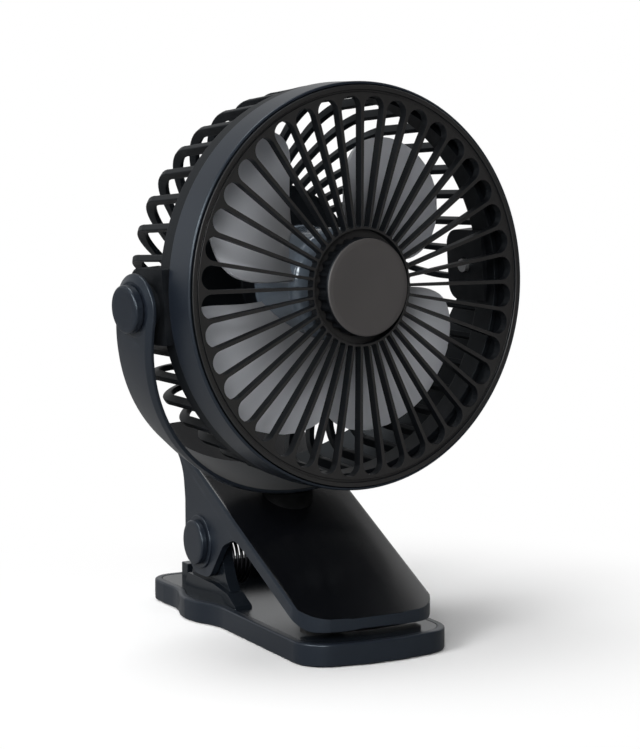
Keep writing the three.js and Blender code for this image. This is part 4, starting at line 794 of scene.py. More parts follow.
@dataclass
class Grille:
    """The front grille, with its forty long slots, and the cap at its centre."""

    radius: float = 72.7
    face: float = -25.4
    back: float = -21.9
    rim: float = 1.7
    rim_proud: float = 0.45
    groove: float = 0.8
    groove_depth: float = 0.6
    slots: int = 40
    slot_outer: float = 68.9
    slot_inner: float = 21.6
    slot_end_radius: float = 4.32
    slot_narrow: float = 2.45
    bore_radius: float = 15.3
    cap_radius: float = 18.0
    cap_proud: float = 4.1
    cap_dish: float = 0.25
    cap_stub: float = 15.0
    well_radius: float = 20.8
    well_depth: float = 3.0
    flutes: int = 26
    flute_radius: float = 1.9
    flute_out: float = 0.9
    flute_start: float = 1.7

    def build(self, dresser: Dresser) -> None:
        """Builds the grille and the cap."""
        body = self._plate().combined(self._slots(), Join.CUT).softened(0.28, 2)
        item = body.piece("grille_face", LAYOUT.head_frame())
        dresser.dress(item, Finishes.warm, "head", ["front_grille"])
        self._paint_shade(dresser, item)
        item = self._cap().piece("centre_cap", LAYOUT.head_frame())
        dresser.dress(item, Finishes.cap, "head", ["front_cap"])
        self._paint_shade(dresser, item)

    def _paint_shade(self, dresser: Dresser, item: bpy.types.Object) -> None:
        """Paints shade on the faces that don't look forward: they get the darker finish."""
        dresser.part(item, Finishes.painted_shade, LAYOUT.head_frame(), lambda _, normal: -normal.y < FACE_SLANT)

    def _plate(self) -> Form:
        """The turned body of the grille, with its raised rim, a groove inside it and the well of the cap."""
        rim_in = self.radius - self.rim
        floor = self.face + self.groove_depth
        return Form().turned([
            (self.radius, self.back), (self.radius, self.face - self.rim_proud, 0.35),
            (rim_in, self.face - self.rim_proud, 0.35), (rim_in - 0.05, floor, 0.15),
            (rim_in - self.groove, floor, 0.15), (rim_in - self.groove - 0.15, self.face, 0.2),
            (self.well_radius, self.face, 0.25), (self.well_radius, self.face + self.well_depth),
            (self.bore_radius, self.face + self.well_depth), (self.bore_radius, self.back),
        ])

    def _slots(self) -> Form:
        """All the slots as one tool: wide and round outside, narrow inside."""
        half, far = self.slot_end_radius, self.slot_outer
        lean = math.asin((half - self.slot_narrow / 2) / (far - half - self.slot_inner))
        reach = half / math.cos(lean) + half * math.tan(lean)
        narrow = self.slot_narrow / 2
        tool = Form().prism(
            [(-narrow, self.slot_inner, 0.7), (narrow, self.slot_inner, 0.7), (reach, far, half - 0.01),
             (-reach, far, half - 0.01)],
            Plane.FRONT, self.face - PAST, self.back + PAST,
        )
        return tool.repeated(self.slots)

    def _cap(self) -> Form:
        """The cap: a slightly dished face, a rounded edge and a fluted side."""
        top = self.face - self.cap_proud
        seat = self.face + self.well_depth - GAP
        cap = Form().turned([
            (0, top + self.cap_dish), (self.cap_radius - 2.2, top, 3.0),
            (self.cap_radius, top + self.cap_dish, 1.1), (self.cap_radius, seat), (self.cap_stub, seat),
            (self.cap_stub, self.back), (0, self.back),
        ], closed=False, steps=CAP_STEPS)
        flute = Form().disc(self.flute_radius, top + self.flute_start, self.back + 1, Axis.Y, FLUTE_STEPS)
        flute.placed(Matrix.Translation((self.cap_radius + self.flute_out, 0, 0)))
        return cap.combined(flute.repeated(self.flutes), Join.CUT)


@dataclass
class Cage:
    """The rear cage: its ring, the swirling ribs, the rear plate with the motor cup, and the pivot pads."""

    radius: float = 73.3
    ring_front: float = -11.7
    ring_rear: float = -4.6
    ring_wall: float = 4.4
    spigot: float = 3.9
    spigot_radius: float = 70.7
    straight: float = 18.0
    corner: float = 16.0
    taper: float = 2.0
    dish: float = 3.0
    ribs: int = 40
    rib_width: float = 2.6
    rib_depth: float = 3.6
    rib_tuck: float = 2.0
    plate_tuck: float = 1.5
    straight_steps: int = 6
    corner_steps: int = 12
    inward_steps: int = 14
    swirl: float = 0.0034
    swirl_growth: float = 0.00015
    plate_radius: float = 36.5
    plate_thick: float = 2.6
    cup_inner: float = 13.9
    cup_wall: float = 1.8
    cup_front: float = 4.1
    pad_reach: float = 75.4
    boss_reach: float = 77.4
    boss_radius: float = 8.4
    pad_half: float = 13.5
    pad_length: float = 15.2

    def build(self, dresser: Dresser) -> None:
        """Builds the ring, the ribs, the plate and the pads, all in the darker finish of painted shade."""
        parts = {
            "cage_ring": self._ring(), "cage_ribs": self._ribs(), "cage_plate": self._plate(),
            "cage_pivot_pads": self._pads(),
        }
        for name, form in parts.items():
            item = form.piece(name, LAYOUT.head_frame())
            # painted shade: the whole cage gets the darker copy of the moulding
            dresser.dress(item, Finishes.painted_shade, "head", ["rear_cage"])

    def _ring(self) -> Form:
        """The ring that the bezel seats on."""
        inner = self.radius - self.ring_wall
        return Form().turned([
            (self.radius, self.ring_front, 0.3), (self.radius, self.ring_rear, 0.8),
            (inner, self.ring_rear, 0.8), (inner, self.ring_front - self.spigot, 0.2),
            (self.spigot_radius, self.ring_front - self.spigot, 0.2), (self.spigot_radius, self.ring_front),
        ])

    def _line(self) -> list[tuple[float, float, float]]:
        """Outer line of a rib from the ring to the plate.

        Returns:
            The radius, the distance behind the tilt axis and the slant at each place.
        """
        corner_y = self.ring_rear + self.straight
        side = self.radius - self.taper
        steps, length = self.straight_steps, self.straight + self.rib_tuck
        points = [
            (self.radius - self.taper * i / steps, self.ring_rear - self.rib_tuck + i * length / steps, 0.0)
            for i in range(steps + 1)
        ]
        for i in range(1, self.corner_steps + 1):
            turn = QUARTER * i / self.corner_steps
            radius = side - self.corner * (1 - math.cos(turn))
            points.append((radius, corner_y + self.corner * math.sin(turn), turn))
        start, end = side - self.corner, self.plate_radius - self.plate_tuck
        for i in range(1, self.inward_steps + 1):
            share = i / self.inward_steps
            rise = (self.dish - 0.4) * math.sin(QUARTER * share)
            points.append((start + (end - start) * share, corner_y + self.corner + rise, QUARTER))
        return points

    def _ribs(self) -> Form:
        """One rib swept along its line, with rounded edges, copied round the cage."""
        places: list[Vector] = []
        normals: list[Vector] = []
        first = math.pi / self.ribs
        for radius, y, slant in self._line():
            inward = self.radius - radius
            angle = first + self.swirl * inward + self.swirl_growth * inward * inward
            out = Vector((math.cos(angle), 0, math.sin(angle)))
            places.append(out * radius + Vector((0, y, 0)))
            normals.append(out * math.cos(slant) + Vector((0, math.sin(slant), 0)))
        frames = []
        for i, (place, normal) in enumerate(zip(places, normals)):
            along = heading(places, i)
            side = along.cross(normal).normalized()
            frames.append(frame_of(side, along, side.cross(along).normalized(), place))
        half, deep = self.rib_width / 2, self.rib_depth
        section = [(-half, 0, 0.55), (half, 0, 0.55), (half * 0.8, -deep, 0.4), (-half * 0.8, -deep, 0.4)]
        return Form().swept(section, frames).repeated(self.ribs)

    def _plate(self) -> Form:
        """The rear plate and the cup that holds the motor."""
        rear = self.ring_rear + self.straight + self.corner + self.dish
        front = rear - self.plate_thick
        outer = self.cup_inner + self.cup_wall
        return Form().turned([
            (self.cup_inner, self.cup_front, 0.3), (outer, self.cup_front, 0.5), (outer, front, 1.0),
            (self.plate_radius, front, 0.4), (self.plate_radius, rear, 0.9), (self.cup_inner, rear, 0.2),
        ], steps=KNOB_STEPS * 2)

    def _pads(self) -> Form:
        """The two pads on the ring that carry the tilt axles, each with its round boss."""
        half, front, rear = self.pad_half, self.ring_front + 0.6, self.ring_rear + self.pad_length
        inner = self.radius - self.ring_wall - 2
        pad = Form().prism(
            [(front, -half, 0.5), (rear, -half, 6), (rear, half, 6), (front, half, 0.5)],
            Plane.SIDE, inner, self.pad_reach,
        )
        pad.combined(Form().disc(self.boss_radius, self.pad_reach - 2, self.boss_reach, Axis.X), Join.ADD)
        hole = Form().disc(AXLE_HOLE, inner - PAST, self.boss_reach + PAST, Axis.X, HOLE_STEPS)
        pad.combined(hole, Join.CUT)
        return pad.softened(0.5, 3).mirrored()


@dataclass
class RearCover:
    """The cover on the rear plate, with the ring of light and the power button in it."""

    front: float = 32.7
    thick: float = 2.5
    radius: float = 23.0
    hole: float = 6.4
    groove_in: float = 8.3
    groove_out: float = 9.9
    groove_depth: float = 1.5
    button_radius: float = 6.0
    button_foot: float = 31.8
    button_flange: float = 1.5
    button_proud: float = 0.7

    def build(self, dresser: Dresser) -> None:
        """Builds the cover, the ring of light and the button."""
        frame = LAYOUT.head_frame()
        back = self.front + self.thick
        cover = Form().turned([
            (self.hole, self.front, 0.1), (self.radius, self.front, 0.2), (self.radius, back, 1.2),
            (self.groove_out + 2.2, back, 4), (self.groove_out, back - 0.15, 0.15),
            (self.groove_out, back - self.groove_depth), (self.groove_in, back - self.groove_depth),
            (self.groove_in, back - 0.15, 0.15), (self.hole, back - 0.15, 0.3),
        ], steps=KNOB_STEPS * 2)
        item = cover.piece("rear_cover_dish", frame)
        dresser.dress(item, Finishes.satin, "head", ["rear_cover"])
        inner, outer, floor = self.groove_in + GAP, self.groove_out - GAP, back - self.groove_depth + GAP
        ring = Form().turned([
            (inner, floor), (outer, floor), (outer, back, 0.3), (inner, back, 0.3),
        ], steps=KNOB_STEPS * 2)
        item = ring.piece("status_light_ring", frame)
        dresser.dress(item, Finishes.light, "head", ["light_ring"])
        crown = back + self.button_proud
        flange = self.front - GAP
        wide = self.button_radius + self.button_flange
        button = Form().turned([
            (0, self.button_foot), (wide, self.button_foot), (wide, flange), (self.button_radius, flange),
            (self.button_radius, crown, 0.9), (self.button_radius * 0.55, crown - 0.05, 3), (0, crown - 0.35),
        ], closed=False, steps=KNOB_STEPS)
        item = button.piece("button_cap", frame)
        dresser.dress(item, Finishes.warm, "power_button", ["power_button"])


@dataclass
class Impeller:
    """The four broad blades on their hub."""

    blades: int = 4
    tip: float = 63.0
    span: float = math.radians(38)
    rise: float = 25.0
    thick: float = 1.2
    camber: float = 1.6
    root_tuck: float = 0.8
    waist: float = 0.86
    round_from: float = 0.55
    round_over: float = 0.47
    round_power: float = 2.4
    flatter: float = 0.25
    rest: float = math.radians(44)
    sweep: float = math.radians(10)
    hub_radius: float = 21.0
    hub_front: float = -12.1
    hub_length: float = 25.0
    hub_wall: float = 2.0
    rows: int = 26
    columns: int = 34

    def build(self, dresser: Dresser) -> None:
        """Builds the hub and the blades."""
        item = self._hub().piece("impeller_hub", LAYOUT.head_frame())
        dresser.dress(item, Finishes.hub, "impeller", ["impeller"])
        item = self._blades().piece("impeller_blades", LAYOUT.head_frame())
        dresser.dress(item, Finishes.smoke, "impeller", ["impeller"])

    def _hub(self) -> Form:
        """The hub: a cup with a rounded nose, a rolled rear rim and the boss of the shaft."""
        rear, floor = self.hub_front + self.hub_length, self.hub_front + self.hub_wall
        return Form().turned([
            (0, self.hub_front), (self.hub_radius, self.hub_front, 4.0),
            (self.hub_radius, rear - 1.4, 0.3), (self.hub_radius + 0.4, rear - 1.0, 0.2),
            (self.hub_radius + 0.4, rear, 0.3),
            (self.hub_radius - self.hub_wall, rear, 0.3), (self.hub_radius - self.hub_wall, floor, 1.5),
            (5, floor, 0.5), (5, floor + 6, 0.3), (1.35, floor + 6), (1.35, floor), (0, floor),
        ], closed=False, steps=KNOB_STEPS * 2)

    def _half_angle(self, share: float) -> float:
        """Half of a blade's angle at a share of the way from the hub to the tip."""
        fall = max((share - self.round_from) / self.round_over, 0.0) ** self.round_power
        width = self.waist + 0.14 * math.sin(math.pi * share)
        return self.span * width * math.sqrt(max(1 - fall, 0.02))

    def _blades(self) -> Form:
        """A flat grid bent into one blade, thickened, rounded at its edge and copied round the hub."""
        form = Form()
        bmesh.ops.create_grid(form.bm, x_segments=self.columns, y_segments=self.rows, size=1.0)
        root = self.hub_radius - self.root_tuck
        for vert in form.bm.verts:
            across, share = vert.co.x, (vert.co.y + 1) / 2
            radius = root + (self.tip - root) * share
            half = self._half_angle(share)
            angle = across * half + self.sweep * share * share
            lift = across * half / self.span * self.rise * (1 - self.flatter * share) / 2
            camber = self.camber * (1 - across * across)
            y = self.hub_front + self.hub_length / 2 - 1 + lift - camber
            vert.co = Vector((radius * math.sin(angle), y, radius * math.cos(angle)))
        bmesh.ops.recalc_face_normals(form.bm, faces=form.bm.faces)
        bmesh.ops.solidify(form.bm, geom=list(form.bm.faces), thickness=self.thick)
        form.outward()
        form.softened(0.35, 2, math.radians(50))
        form.placed(Matrix.Rotation(self.rest, 4, "Y"))
        return form.repeated(self.blades)


# ---------------------------------------------------------------- yoke


@dataclass
class Yoke:
    """The U-shaped yoke, its knobs and the hollow stem that it swivels on."""

    inner: float = 79.2
    wall: float = 2.8
    edge: float = 1.3
    half: float = 12.2
    pad_radius: float = 9.6
    pad_thick: float = 0.6
    stem_radius: float = 5.5
    stem_bore: float = 3.0
    stem_length: float = 15.3
    knob_radius: float = 8.6
    knob_thick: float = 3.2
    boss_space: float = 9.0

    def build(self, dresser: Dresser) -> None:
        """Builds the strap, the stem and the two knobs."""
        frame = LAYOUT.yoke_frame()
        item = self._strap().piece("yoke_strap", frame, smooth=24)
        dresser.dress(item, Finishes.satin, "yoke", ["yoke"])
        # painted shade on the inside of the strap below the head
        dresser.part(
            item, Finishes.painted_shade, frame,
            lambda place, normal: place.z < 0 and normal.dot(place) < -self.inner * FACE_SLANT,
        )
        item = self._stem().piece("yoke_stem", frame)
        # painted deep shade on the stem
        dresser.dress(item, Finishes.painted_deep_shade, "yoke", ["yoke"])
        for side, name in ((1, "right"), (-1, "left")):
            knob = self._knob()
            if side < 0:
                knob.placed(Matrix.Rotation(math.pi, 4, "Z"))
            item = knob.piece(f"tilt_cap_{name}", frame)
            dresser.dress(item, Finishes.satin, "yoke", [f"tilt_knob_{name}"])

    def _half_section(self) -> list[Corner]:
        """Half of the strap's section, from its ridge to its edge: distance from the middle, and radius."""
        outer = self.inner + self.wall
        return [(0, self.inner), (self.half, self.inner, 0.3), (self.half, self.inner + self.edge, 0.5),
                (self.half - 2.4, outer - 0.35, 2.0), (0, outer)]

    def _strap(self) -> Form:
        """The strap round the head, and the rounded end of each arm turned round the tilt axis."""
        outer = self.inner + self.wall
        side = self._half_section()
        ring = [(radius, across, *rest) for across, radius, *rest in side[1:]]
        ring += [(radius, -across, *rest) for across, radius, *rest in reversed(side[1:-1])]
        strap = Form().turned(ring, Axis.Y, RING_STEPS)
        reach = outer + 5
        above = Form().prism([(-reach, 0), (reach, 0), (reach, reach), (-reach, reach)], Plane.FRONT, -20, 20)
        strap.combined(above, Join.CUT)
        ends = Form().turned(side, Axis.X, KNOB_STEPS * 2, closed=False).mirrored()
        strap.combined(ends, Join.ADD)
        holes = Form().disc(AXLE_HOLE, self.inner - 3, outer + 3, Axis.X, HOLE_STEPS).mirrored()
        strap.combined(holes, Join.CUT)
        inside = Form().disc(self.boss_space, 0.02 - self.inner, self.inner - 0.02, Axis.X)
        return strap.combined(inside, Join.CUT)

    def _stem(self) -> Form:
        """The round pad under the strap and the hollow stem that goes into the upper jaw."""
        top = -(self.inner + self.wall)
        under, tip = top - self.pad_thick, top - self.stem_length
        return Form().turned([
            (self.stem_bore, top + 2.2), (self.pad_radius, top + 1.0, 0.3), (self.pad_radius, under, 0.4),
            (self.stem_radius, under), (self.stem_radius, tip, 0.4), (self.stem_bore, tip),
        ], Axis.Z, KNOB_STEPS)

    def _knob(self) -> Form:
        """The round knob over the head of a tilt axle, with a soft edge."""
        seat = self.inner + self.wall + GAP
        face = seat + self.knob_thick
        return Form().turned([
            (0, seat + 2.0), (5.3, seat + 2.0), (5.3, seat), (self.knob_radius, seat, 0.2),
            (self.knob_radius, face - 0.2, 0.9), (self.knob_radius * 0.72, face, 4.0), (0, face),
        ], Axis.X, KNOB_STEPS * 2, closed=False)


# ---------------------------------------------------------------- lower jaw


@dataclass
class LowerJaw:
    """The lower jaw: the tray, the deck in it with the hinge ears, and the foot pad."""

    thick: float = 8.6
    foot: float = 0.3
    deck_inset: float = 2.9
    deck_top: float = 8.5
    deck_bottom: float = 6.0
    ear_outer: float = 25.2
    ear_inner: float = 20.6
    ear_radius: float = 11.5
    pedestal: float = 2.5
    pedestal_height: float = 6.1
    pin_radius: float = 1.9
    foot_inset: float = 6.3
    foot_top: float = 1.6
    recess_inset: float = 6.0
    recess_top: float = 1.9
    stop_front: float = 65
    stop_rear: float = 70.5
    stop_height: float = 8
    cuts_y: tuple[float, ...] = (0, 12, 24, 36, 48, 60, 68, 78)
    cuts_x: tuple[float, ...] = (-23, -12, 0, 12, 23)

    def plan(self) -> list[Corner]:
        """The plan: a bowed front, flared sides at the hinge and a rounded tail."""
        half = [
            (30.7, -44.7, 12.0), (30.7, 27.3, 22.0), (36.5, 38.3, 22.0), (36.5, 48.2, 22.0),
            (32.1, 58.8, 22.0), (32.9, 71.0, 12.0), (32.9, 86.0, 9.0),
        ]
        return [(0, -53.6, 71.4), *half, *[(-x, y, r) for x, y, r in reversed(half)]]

    def inset_prism(self, inset: float, start: float, end: float) -> Form:
        """A slab of the plan, drawn in by a margin.

        Args:
            inset: the margin.
            start: its lower face.
            end: its upper face.

        Returns:
            The slab.
        """
        form = Form()
        face = form.outline(self.plan(), Plane.PLAN, start)
        if inset > 0:
            rim = bmesh.ops.inset_region(
                form.bm, faces=[face], thickness=inset, use_boundary=True, use_even_offset=True,
            )["faces"]
            bmesh.ops.delete(form.bm, geom=rim, context="FACES")
            face = next(iter(form.bm.faces))
        return form.drawn_out(face, Vector((0, 0, end - start)))

    def build(self, dresser: Dresser) -> None:
        """Builds the tray, the deck and the foot pad."""
        item = self._tray().piece("base_shell", UPRIGHT)
        dresser.dress(item, Finishes.satin, "lower_jaw", ["base_tray"])
        item = self._deck().piece("base_deck", UPRIGHT)
        dresser.dress(item, Finishes.deck, "lower_jaw", ["base_frame"])
        foot = self.inset_prism(self.foot_inset, 0, self.foot_top).softened(0.25, 2)
        item = foot.piece("foot_pad", UPRIGHT)
        dresser.dress(item, Finishes.rubber, "lower_jaw", ["base_foot_pad"])

    def _tray(self) -> Form:
        """The outer tray with rounded edges, open for the deck above and for the pad below."""
        tray = self.inset_prism(0, self.foot, self.thick).softened(1.5, 4)
        tray.combined(self.inset_prism(self.deck_inset - GAP, self.deck_bottom - GAP, 20), Join.CUT)
        tray.combined(self.inset_prism(self.recess_inset, -5, self.recess_top), Join.CUT)
        return tray

    def _deck(self) -> Form:
        """The deck with its two hinge ears, their pedestals and the stop wall at the rear."""
        py, pz = LAYOUT.pivot_y, LAYOUT.pivot_z
        deck = self.inset_prism(self.deck_inset, self.deck_bottom, self.deck_top).softened(0.4, 2)
        deck.sliced(Axis.Y, self.cuts_y).sliced(Axis.X, self.cuts_x)
        foot = self.deck_bottom + 1
        ear = Form().prism([
            (py + 15.5, foot), (py + self.ear_radius, pz - 4, 6),
            (py + self.ear_radius, pz + self.ear_radius, 11.4),
            (py - self.ear_radius, pz + self.ear_radius, 11.4), (py - self.ear_radius - 0.4, pz - 3, 4),
            (py - 17.5, self.deck_top + 6.5, 16), (py - 28, foot),
        ], Plane.SIDE, self.ear_inner, self.ear_outer)
        top = self.deck_top + self.pedestal_height
        step = Form().prism([
            (py - 30, foot), (py - 29, self.deck_top + 1), (py - 22, top - 1.6, 3), (py - 10, top, 3),
            (py + 13, top, 1), (py + 17, foot),
        ], Plane.SIDE, self.ear_inner, self.ear_outer + self.pedestal)
        ear.combined(step, Join.ADD)
        hole = Form().disc(self.pin_radius + GAP, 0, 50, Axis.X, HOLE_STEPS)
        ear.combined(hole.placed(Matrix.Translation((0, py, pz))), Join.CUT)
        deck.combined(ear.softened(0.4, 2).mirrored(), Join.ADD)
        wall, front, rear = self.ear_outer, self.stop_front, self.stop_rear
        stop = Form().prism([
            (-wall, front), (wall, front), (wall, rear), (-wall, rear),
        ], Plane.PLAN, foot, self.deck_top + self.stop_height)
        return deck.combined(stop.softened(0.4, 2), Join.ADD)


# ---------------------------------------------------------------- upper jaw


@dataclass
class UpperJaw:
    """The upper jaw: its shell with the sloping panel, the collar of the swivel and the caps of the pin."""

    half: float = 28.3
    wall: float = 2.5
    front: float = -43.4
    tail: float = 79.0
    border: float = 6.4
    plate: float = 2.6
    foot_radius: float = 12.8
    lip_z: float = 11.4
    pad_top: float = 12.4
    pad_end: float = -28.0
    pad_half: float = 24.6
    arch_y: float = 20.2
    arch_depth: float = 10.4
    boss_radius: float = 10.3
    boss_proud: float = 0.8
    cap_radius: float = 8.6
    cap_thick: float = 2.4
    panel_crown: float = 1.6
    panel_drop: float = 1.1
    panel_roll: float = 1.6
    flat: float = 6.0
    pin_hole: float = 2.2
    stem_hole: float = 5.8
    swivel_radius: float = 9.0
    swivel_top: float = -82.9
    swivel_height: float = 8.0
    inlet_width: float = 9.6
    inlet_height: float = 3.8
    bow: float = 2.9
    corner_back: float = 4.6
    corner_radius: float = 13.0
    flare_y: float = 30.0
    crown_rows: int = 14
    crown_power: float = 2.2

    def build(self, dresser: Dresser) -> None:
        """Builds the shell, the collar and the caps."""
        item = self._shell().piece("jaw_body", UPRIGHT, smooth=30)
        dresser.dress(item, Finishes.panel, "upper_jaw", ["jaw_shell"])
        dresser.part(
            item, Finishes.satin, LAYOUT.slope_frame(),
            lambda place, normal: normal.z < 0.9 or place.z < -self.panel_crown,
        )
        item = self._swivel_boss().piece("swivel_collar", UPRIGHT)
        # painted deep shade on the collar
        dresser.dress(item, Finishes.painted_deep_shade, "upper_jaw", ["jaw_shell"])
        frame = Matrix.Translation((0, LAYOUT.pivot_y, LAYOUT.pivot_z))
        for side, name in ((1, "right"), (-1, "left")):
            turn = UPRIGHT if side > 0 else Matrix.Rotation(math.pi, 4, "Z")
            item = self._pin_cap().piece(f"pin_cap_{name}", frame @ turn)
            dresser.dress(item, Finishes.satin, "upper_jaw", [f"clip_knob_{name}"])

    def _profile(self) -> list[Corner]:
        """Side view of the shell: the slope, the tail, the rounded foot, the arch and the side window."""
        slope, under = LAYOUT.slope_at, LAYOUT.under_slope
        py, pz = LAYOUT.pivot_y, LAYOUT.pivot_z
        top = slope(self.arch_y) - self.arch_depth
        reach = self.foot_radius
        return [
            (self.front, self.lip_z, 1.4), (self.front, slope(self.front), 2.4),
            (self.tail + 0.3, slope(self.tail + 0.3), 1.4), (self.tail - 1.5, slope(self.tail) - 6.0, 3.0),
            (62.5, 60.5, 16.0), (60.0, 44.0, 10.0), (60.0, pz - 2, 6.0),
            (py + reach * 0.55, pz - reach * 1.02, 8.0), (py - reach * 0.62, pz - reach * 1.0, 7.0),
            (self.arch_y + 6.2, top - 3.0, 7.0), (self.arch_y - 3.2, top + 0.8, 6.0),
            (self.arch_y - 12, under(self.arch_y - 12, self.border), 9.0),
            (self.front + 7, under(self.front + 7, self.border), 2.0), (self.front + 5, self.lip_z, 0.6),
        ]

    def _section(self) -> list[Corner]:
        """Cross-section square to the slope: a gently crowned panel that rolls over into the sides."""
        reach = self.half - self.panel_roll - self.flat
        half: list[Corner] = []
        for i in range(1, self.crown_rows + 1):
            share = i / self.crown_rows
            half.append((self.flat + reach * share, -self.panel_drop * share ** self.crown_power))
        half += [(self.half - 0.9, -1.35, 0.6), (self.half, -2.3, 0.8), (self.half, -120.0)]
        return [*half, *[(-corner[0], *corner[1:]) for corner in reversed(half)]]

    def _plan(self) -> list[Corner]:
        """Plan of the shell: a bowed front and rounded corners."""
        half, wide, flare = self.half, self.half + 8, self.flare_y
        corner = (half, self.front + self.corner_back, self.corner_radius)
        right = [corner, (half, flare), (wide, flare + 0.5)]
        left = [(-x, *rest) for x, *rest in reversed(right)]
        return [(0, self.front - self.bow, 71.4), *right, (wide, 110), (-wide, 110), *left]

    def _shell(self) -> Form:
        """The shell cut to its side view, plan and section, hollowed, with a rim at each end of the pin."""
        block = Form().prism(self._profile(), Plane.SIDE, -45, 45)
        block.combined(Form().prism(self._plan(), Plane.PLAN, 0, 120), Join.KEEP)
        section = Form().prism(self._section(), Plane.FRONT, -80, 130).placed(LAYOUT.slope_frame())
        block.combined(section, Join.KEEP)
        block.combined(self._hollow(), Join.CUT).combined(self._pad_seat(), Join.ADD)
        block.softened(0.45, 3, math.radians(40))
        pivot = Matrix.Translation((0, LAYOUT.pivot_y, LAYOUT.pivot_z))
        reach, root = self.half + self.boss_proud, self.half - 1.0
        rim = Form().turned([
            (1.0, root), (self.boss_radius, root), (self.boss_radius, reach, 0.3), (1.0, reach),
        ], Axis.X, KNOB_STEPS * 2)
        block.combined(rim.mirrored().placed(pivot), Join.ADD)
        block.combined(Form().disc(self.pin_hole, -reach - 1, reach + 1, Axis.X).placed(pivot), Join.CUT)
        return block.combined(self._stem_hole(), Join.CUT).combined(self._inlet(), Join.CUT)

    def _pad_seat(self) -> Form:
        """The block under the panel, behind the lip, that the grip pad is bonded to."""
        nose, end, half = self.front + 4, self.pad_end, self.pad_half
        seat = Form().prism([
            (nose, self.pad_top), (nose, LAYOUT.under_slope(nose, self.plate)),
            (end, LAYOUT.under_slope(end, self.plate)), (end, self.pad_top),
        ], Plane.SIDE, -half, half)
        corners = [(half + 1, 0), (half + 1, nose + 6.3), (half - 7, nose - 0.5)]
        plan = [*corners, *[(-x, y) for x, y in reversed(corners)]]
        return seat.combined(Form().prism(plan, Plane.PLAN, 0, 60), Join.KEEP)

    def _stem_hole(self) -> Form:
        """The hole that the stem of the yoke turns in, as a tool."""
        return Form().disc(self.stem_hole, -98.0, -80.0, Axis.Z).placed(LAYOUT.lean_frame())

    def _swivel_boss(self) -> Form:
        """The round boss that the yoke swivels on, rising out of the panel."""
        top, foot = self.swivel_top, self.swivel_top - self.swivel_height
        boss = Form().turned([
            (0, top), (self.swivel_radius, top, 0.5), (self.swivel_radius + 1.2, foot), (0, foot),
        ], Axis.Z, KNOB_STEPS * 2, closed=False)
        return boss.placed(LAYOUT.lean_frame()).combined(self._stem_hole(), Join.CUT)

    def _inlet(self) -> Form:
        """The hole of the charging inlet at the upper end of the panel, as a tool."""
        end, half = self.tail / math.cos(LAYOUT.jaw_slope) - 1.2, self.inlet_width / 2
        top, bottom = -self.plate, -self.plate - self.inlet_height
        hole = Form().prism([
            (-half, top, 1.2), (half, top, 1.2), (half, bottom, 1.2), (-half, bottom, 1.2),
        ], Plane.FRONT, end - 7.7, end + 7.4)
        return hole.placed(LAYOUT.slope_frame())

    def _hollow(self) -> Form:
        """The space between the side walls, under the panel."""
        nose, inside = self.front + 10.5, self.half - self.wall
        rear, depth = self.tail - 6, self.plate + 1.2
        return Form().prism([
            (nose, 0), (nose, LAYOUT.under_slope(nose, depth)), (rear, LAYOUT.under_slope(rear, depth)),
            (rear, LAYOUT.slope_at(self.tail) - 9), (64.0, 55.0), (57.6, 47.0), (57.6, 40.0), (67.6, 40.0),
            (67.6, 0),
        ], Plane.SIDE, -inside, inside)

    def _pin_cap(self) -> Form:
        """The round cap over the end of the pin."""
        seat = self.half + self.boss_proud + GAP
        face = seat + self.cap_thick
        return Form().turned([
            (0, seat), (self.cap_radius, seat, 0.2), (self.cap_radius, face - 0.1, 0.8),
            (self.cap_radius * 0.75, face, 4.0), (0, face),
        ], Axis.X, KNOB_STEPS * 2, closed=False)


@dataclass
class Spring:
    """The torsion spring that hangs on the pin of the clip, with a leg on each jaw."""

    wire: float = 1.3
    radius: float = 10.15
    middle_z: float = 22.0
    start_x: float = -19.5
    pitch: float = 1.8
    turn: float = math.radians(1580)
    lower_leg: tuple[float, float, float] = (-19.5, 63.1, 10.15)
    upper_leg: float = 21.0
    upper_angle: float = math.radians(130)
    steps: int = 220
    sides: int = 14

    def build(self, dresser: Dresser) -> None:
        """Builds the spring as one smooth wire from the lower leg, round the coil, to the upper leg."""
        line = self._line()
        frames = []
        for i, place in enumerate(line):
            along = heading(line, i)
            side = (Vector((1, 0, 0)) - along * along.x).normalized()
            frames.append(frame_of(side, along, side.cross(along), place))
        half = self.wire / 2
        around = [FULL_TURN * i / self.sides for i in range(self.sides)]
        form = Form().swept([(half * math.cos(a), half * math.sin(a)) for a in around], frames)
        item = form.piece("clip_coil", UPRIGHT)
        item.data.materials.append(Finishes.dark_steel.material())
        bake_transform(item)
        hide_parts("clip_spring")
        LOG.info("%s: %d faces, bends between the jaws", item.name, len(item.data.polygons))

    def _line(self) -> list[Vector]:
        """Middle line of the wire: the lower leg, the coil and the upper leg."""
        line = [Vector(self.lower_leg)]
        for i in range(self.steps + 1):
            turned = self.turn * i / self.steps
            angle = -QUARTER - turned
            line.append(Vector((
                self.start_x + self.pitch * turned / FULL_TURN,
                LAYOUT.pivot_y + self.radius * math.cos(angle),
                self.middle_z + self.radius * math.sin(angle),
            )))
        away = Vector((0, math.sin(self.upper_angle), -math.cos(self.upper_angle)))
        return [*line, line[-1] + away * self.upper_leg]


# ---------------------------------------------------------------- studio


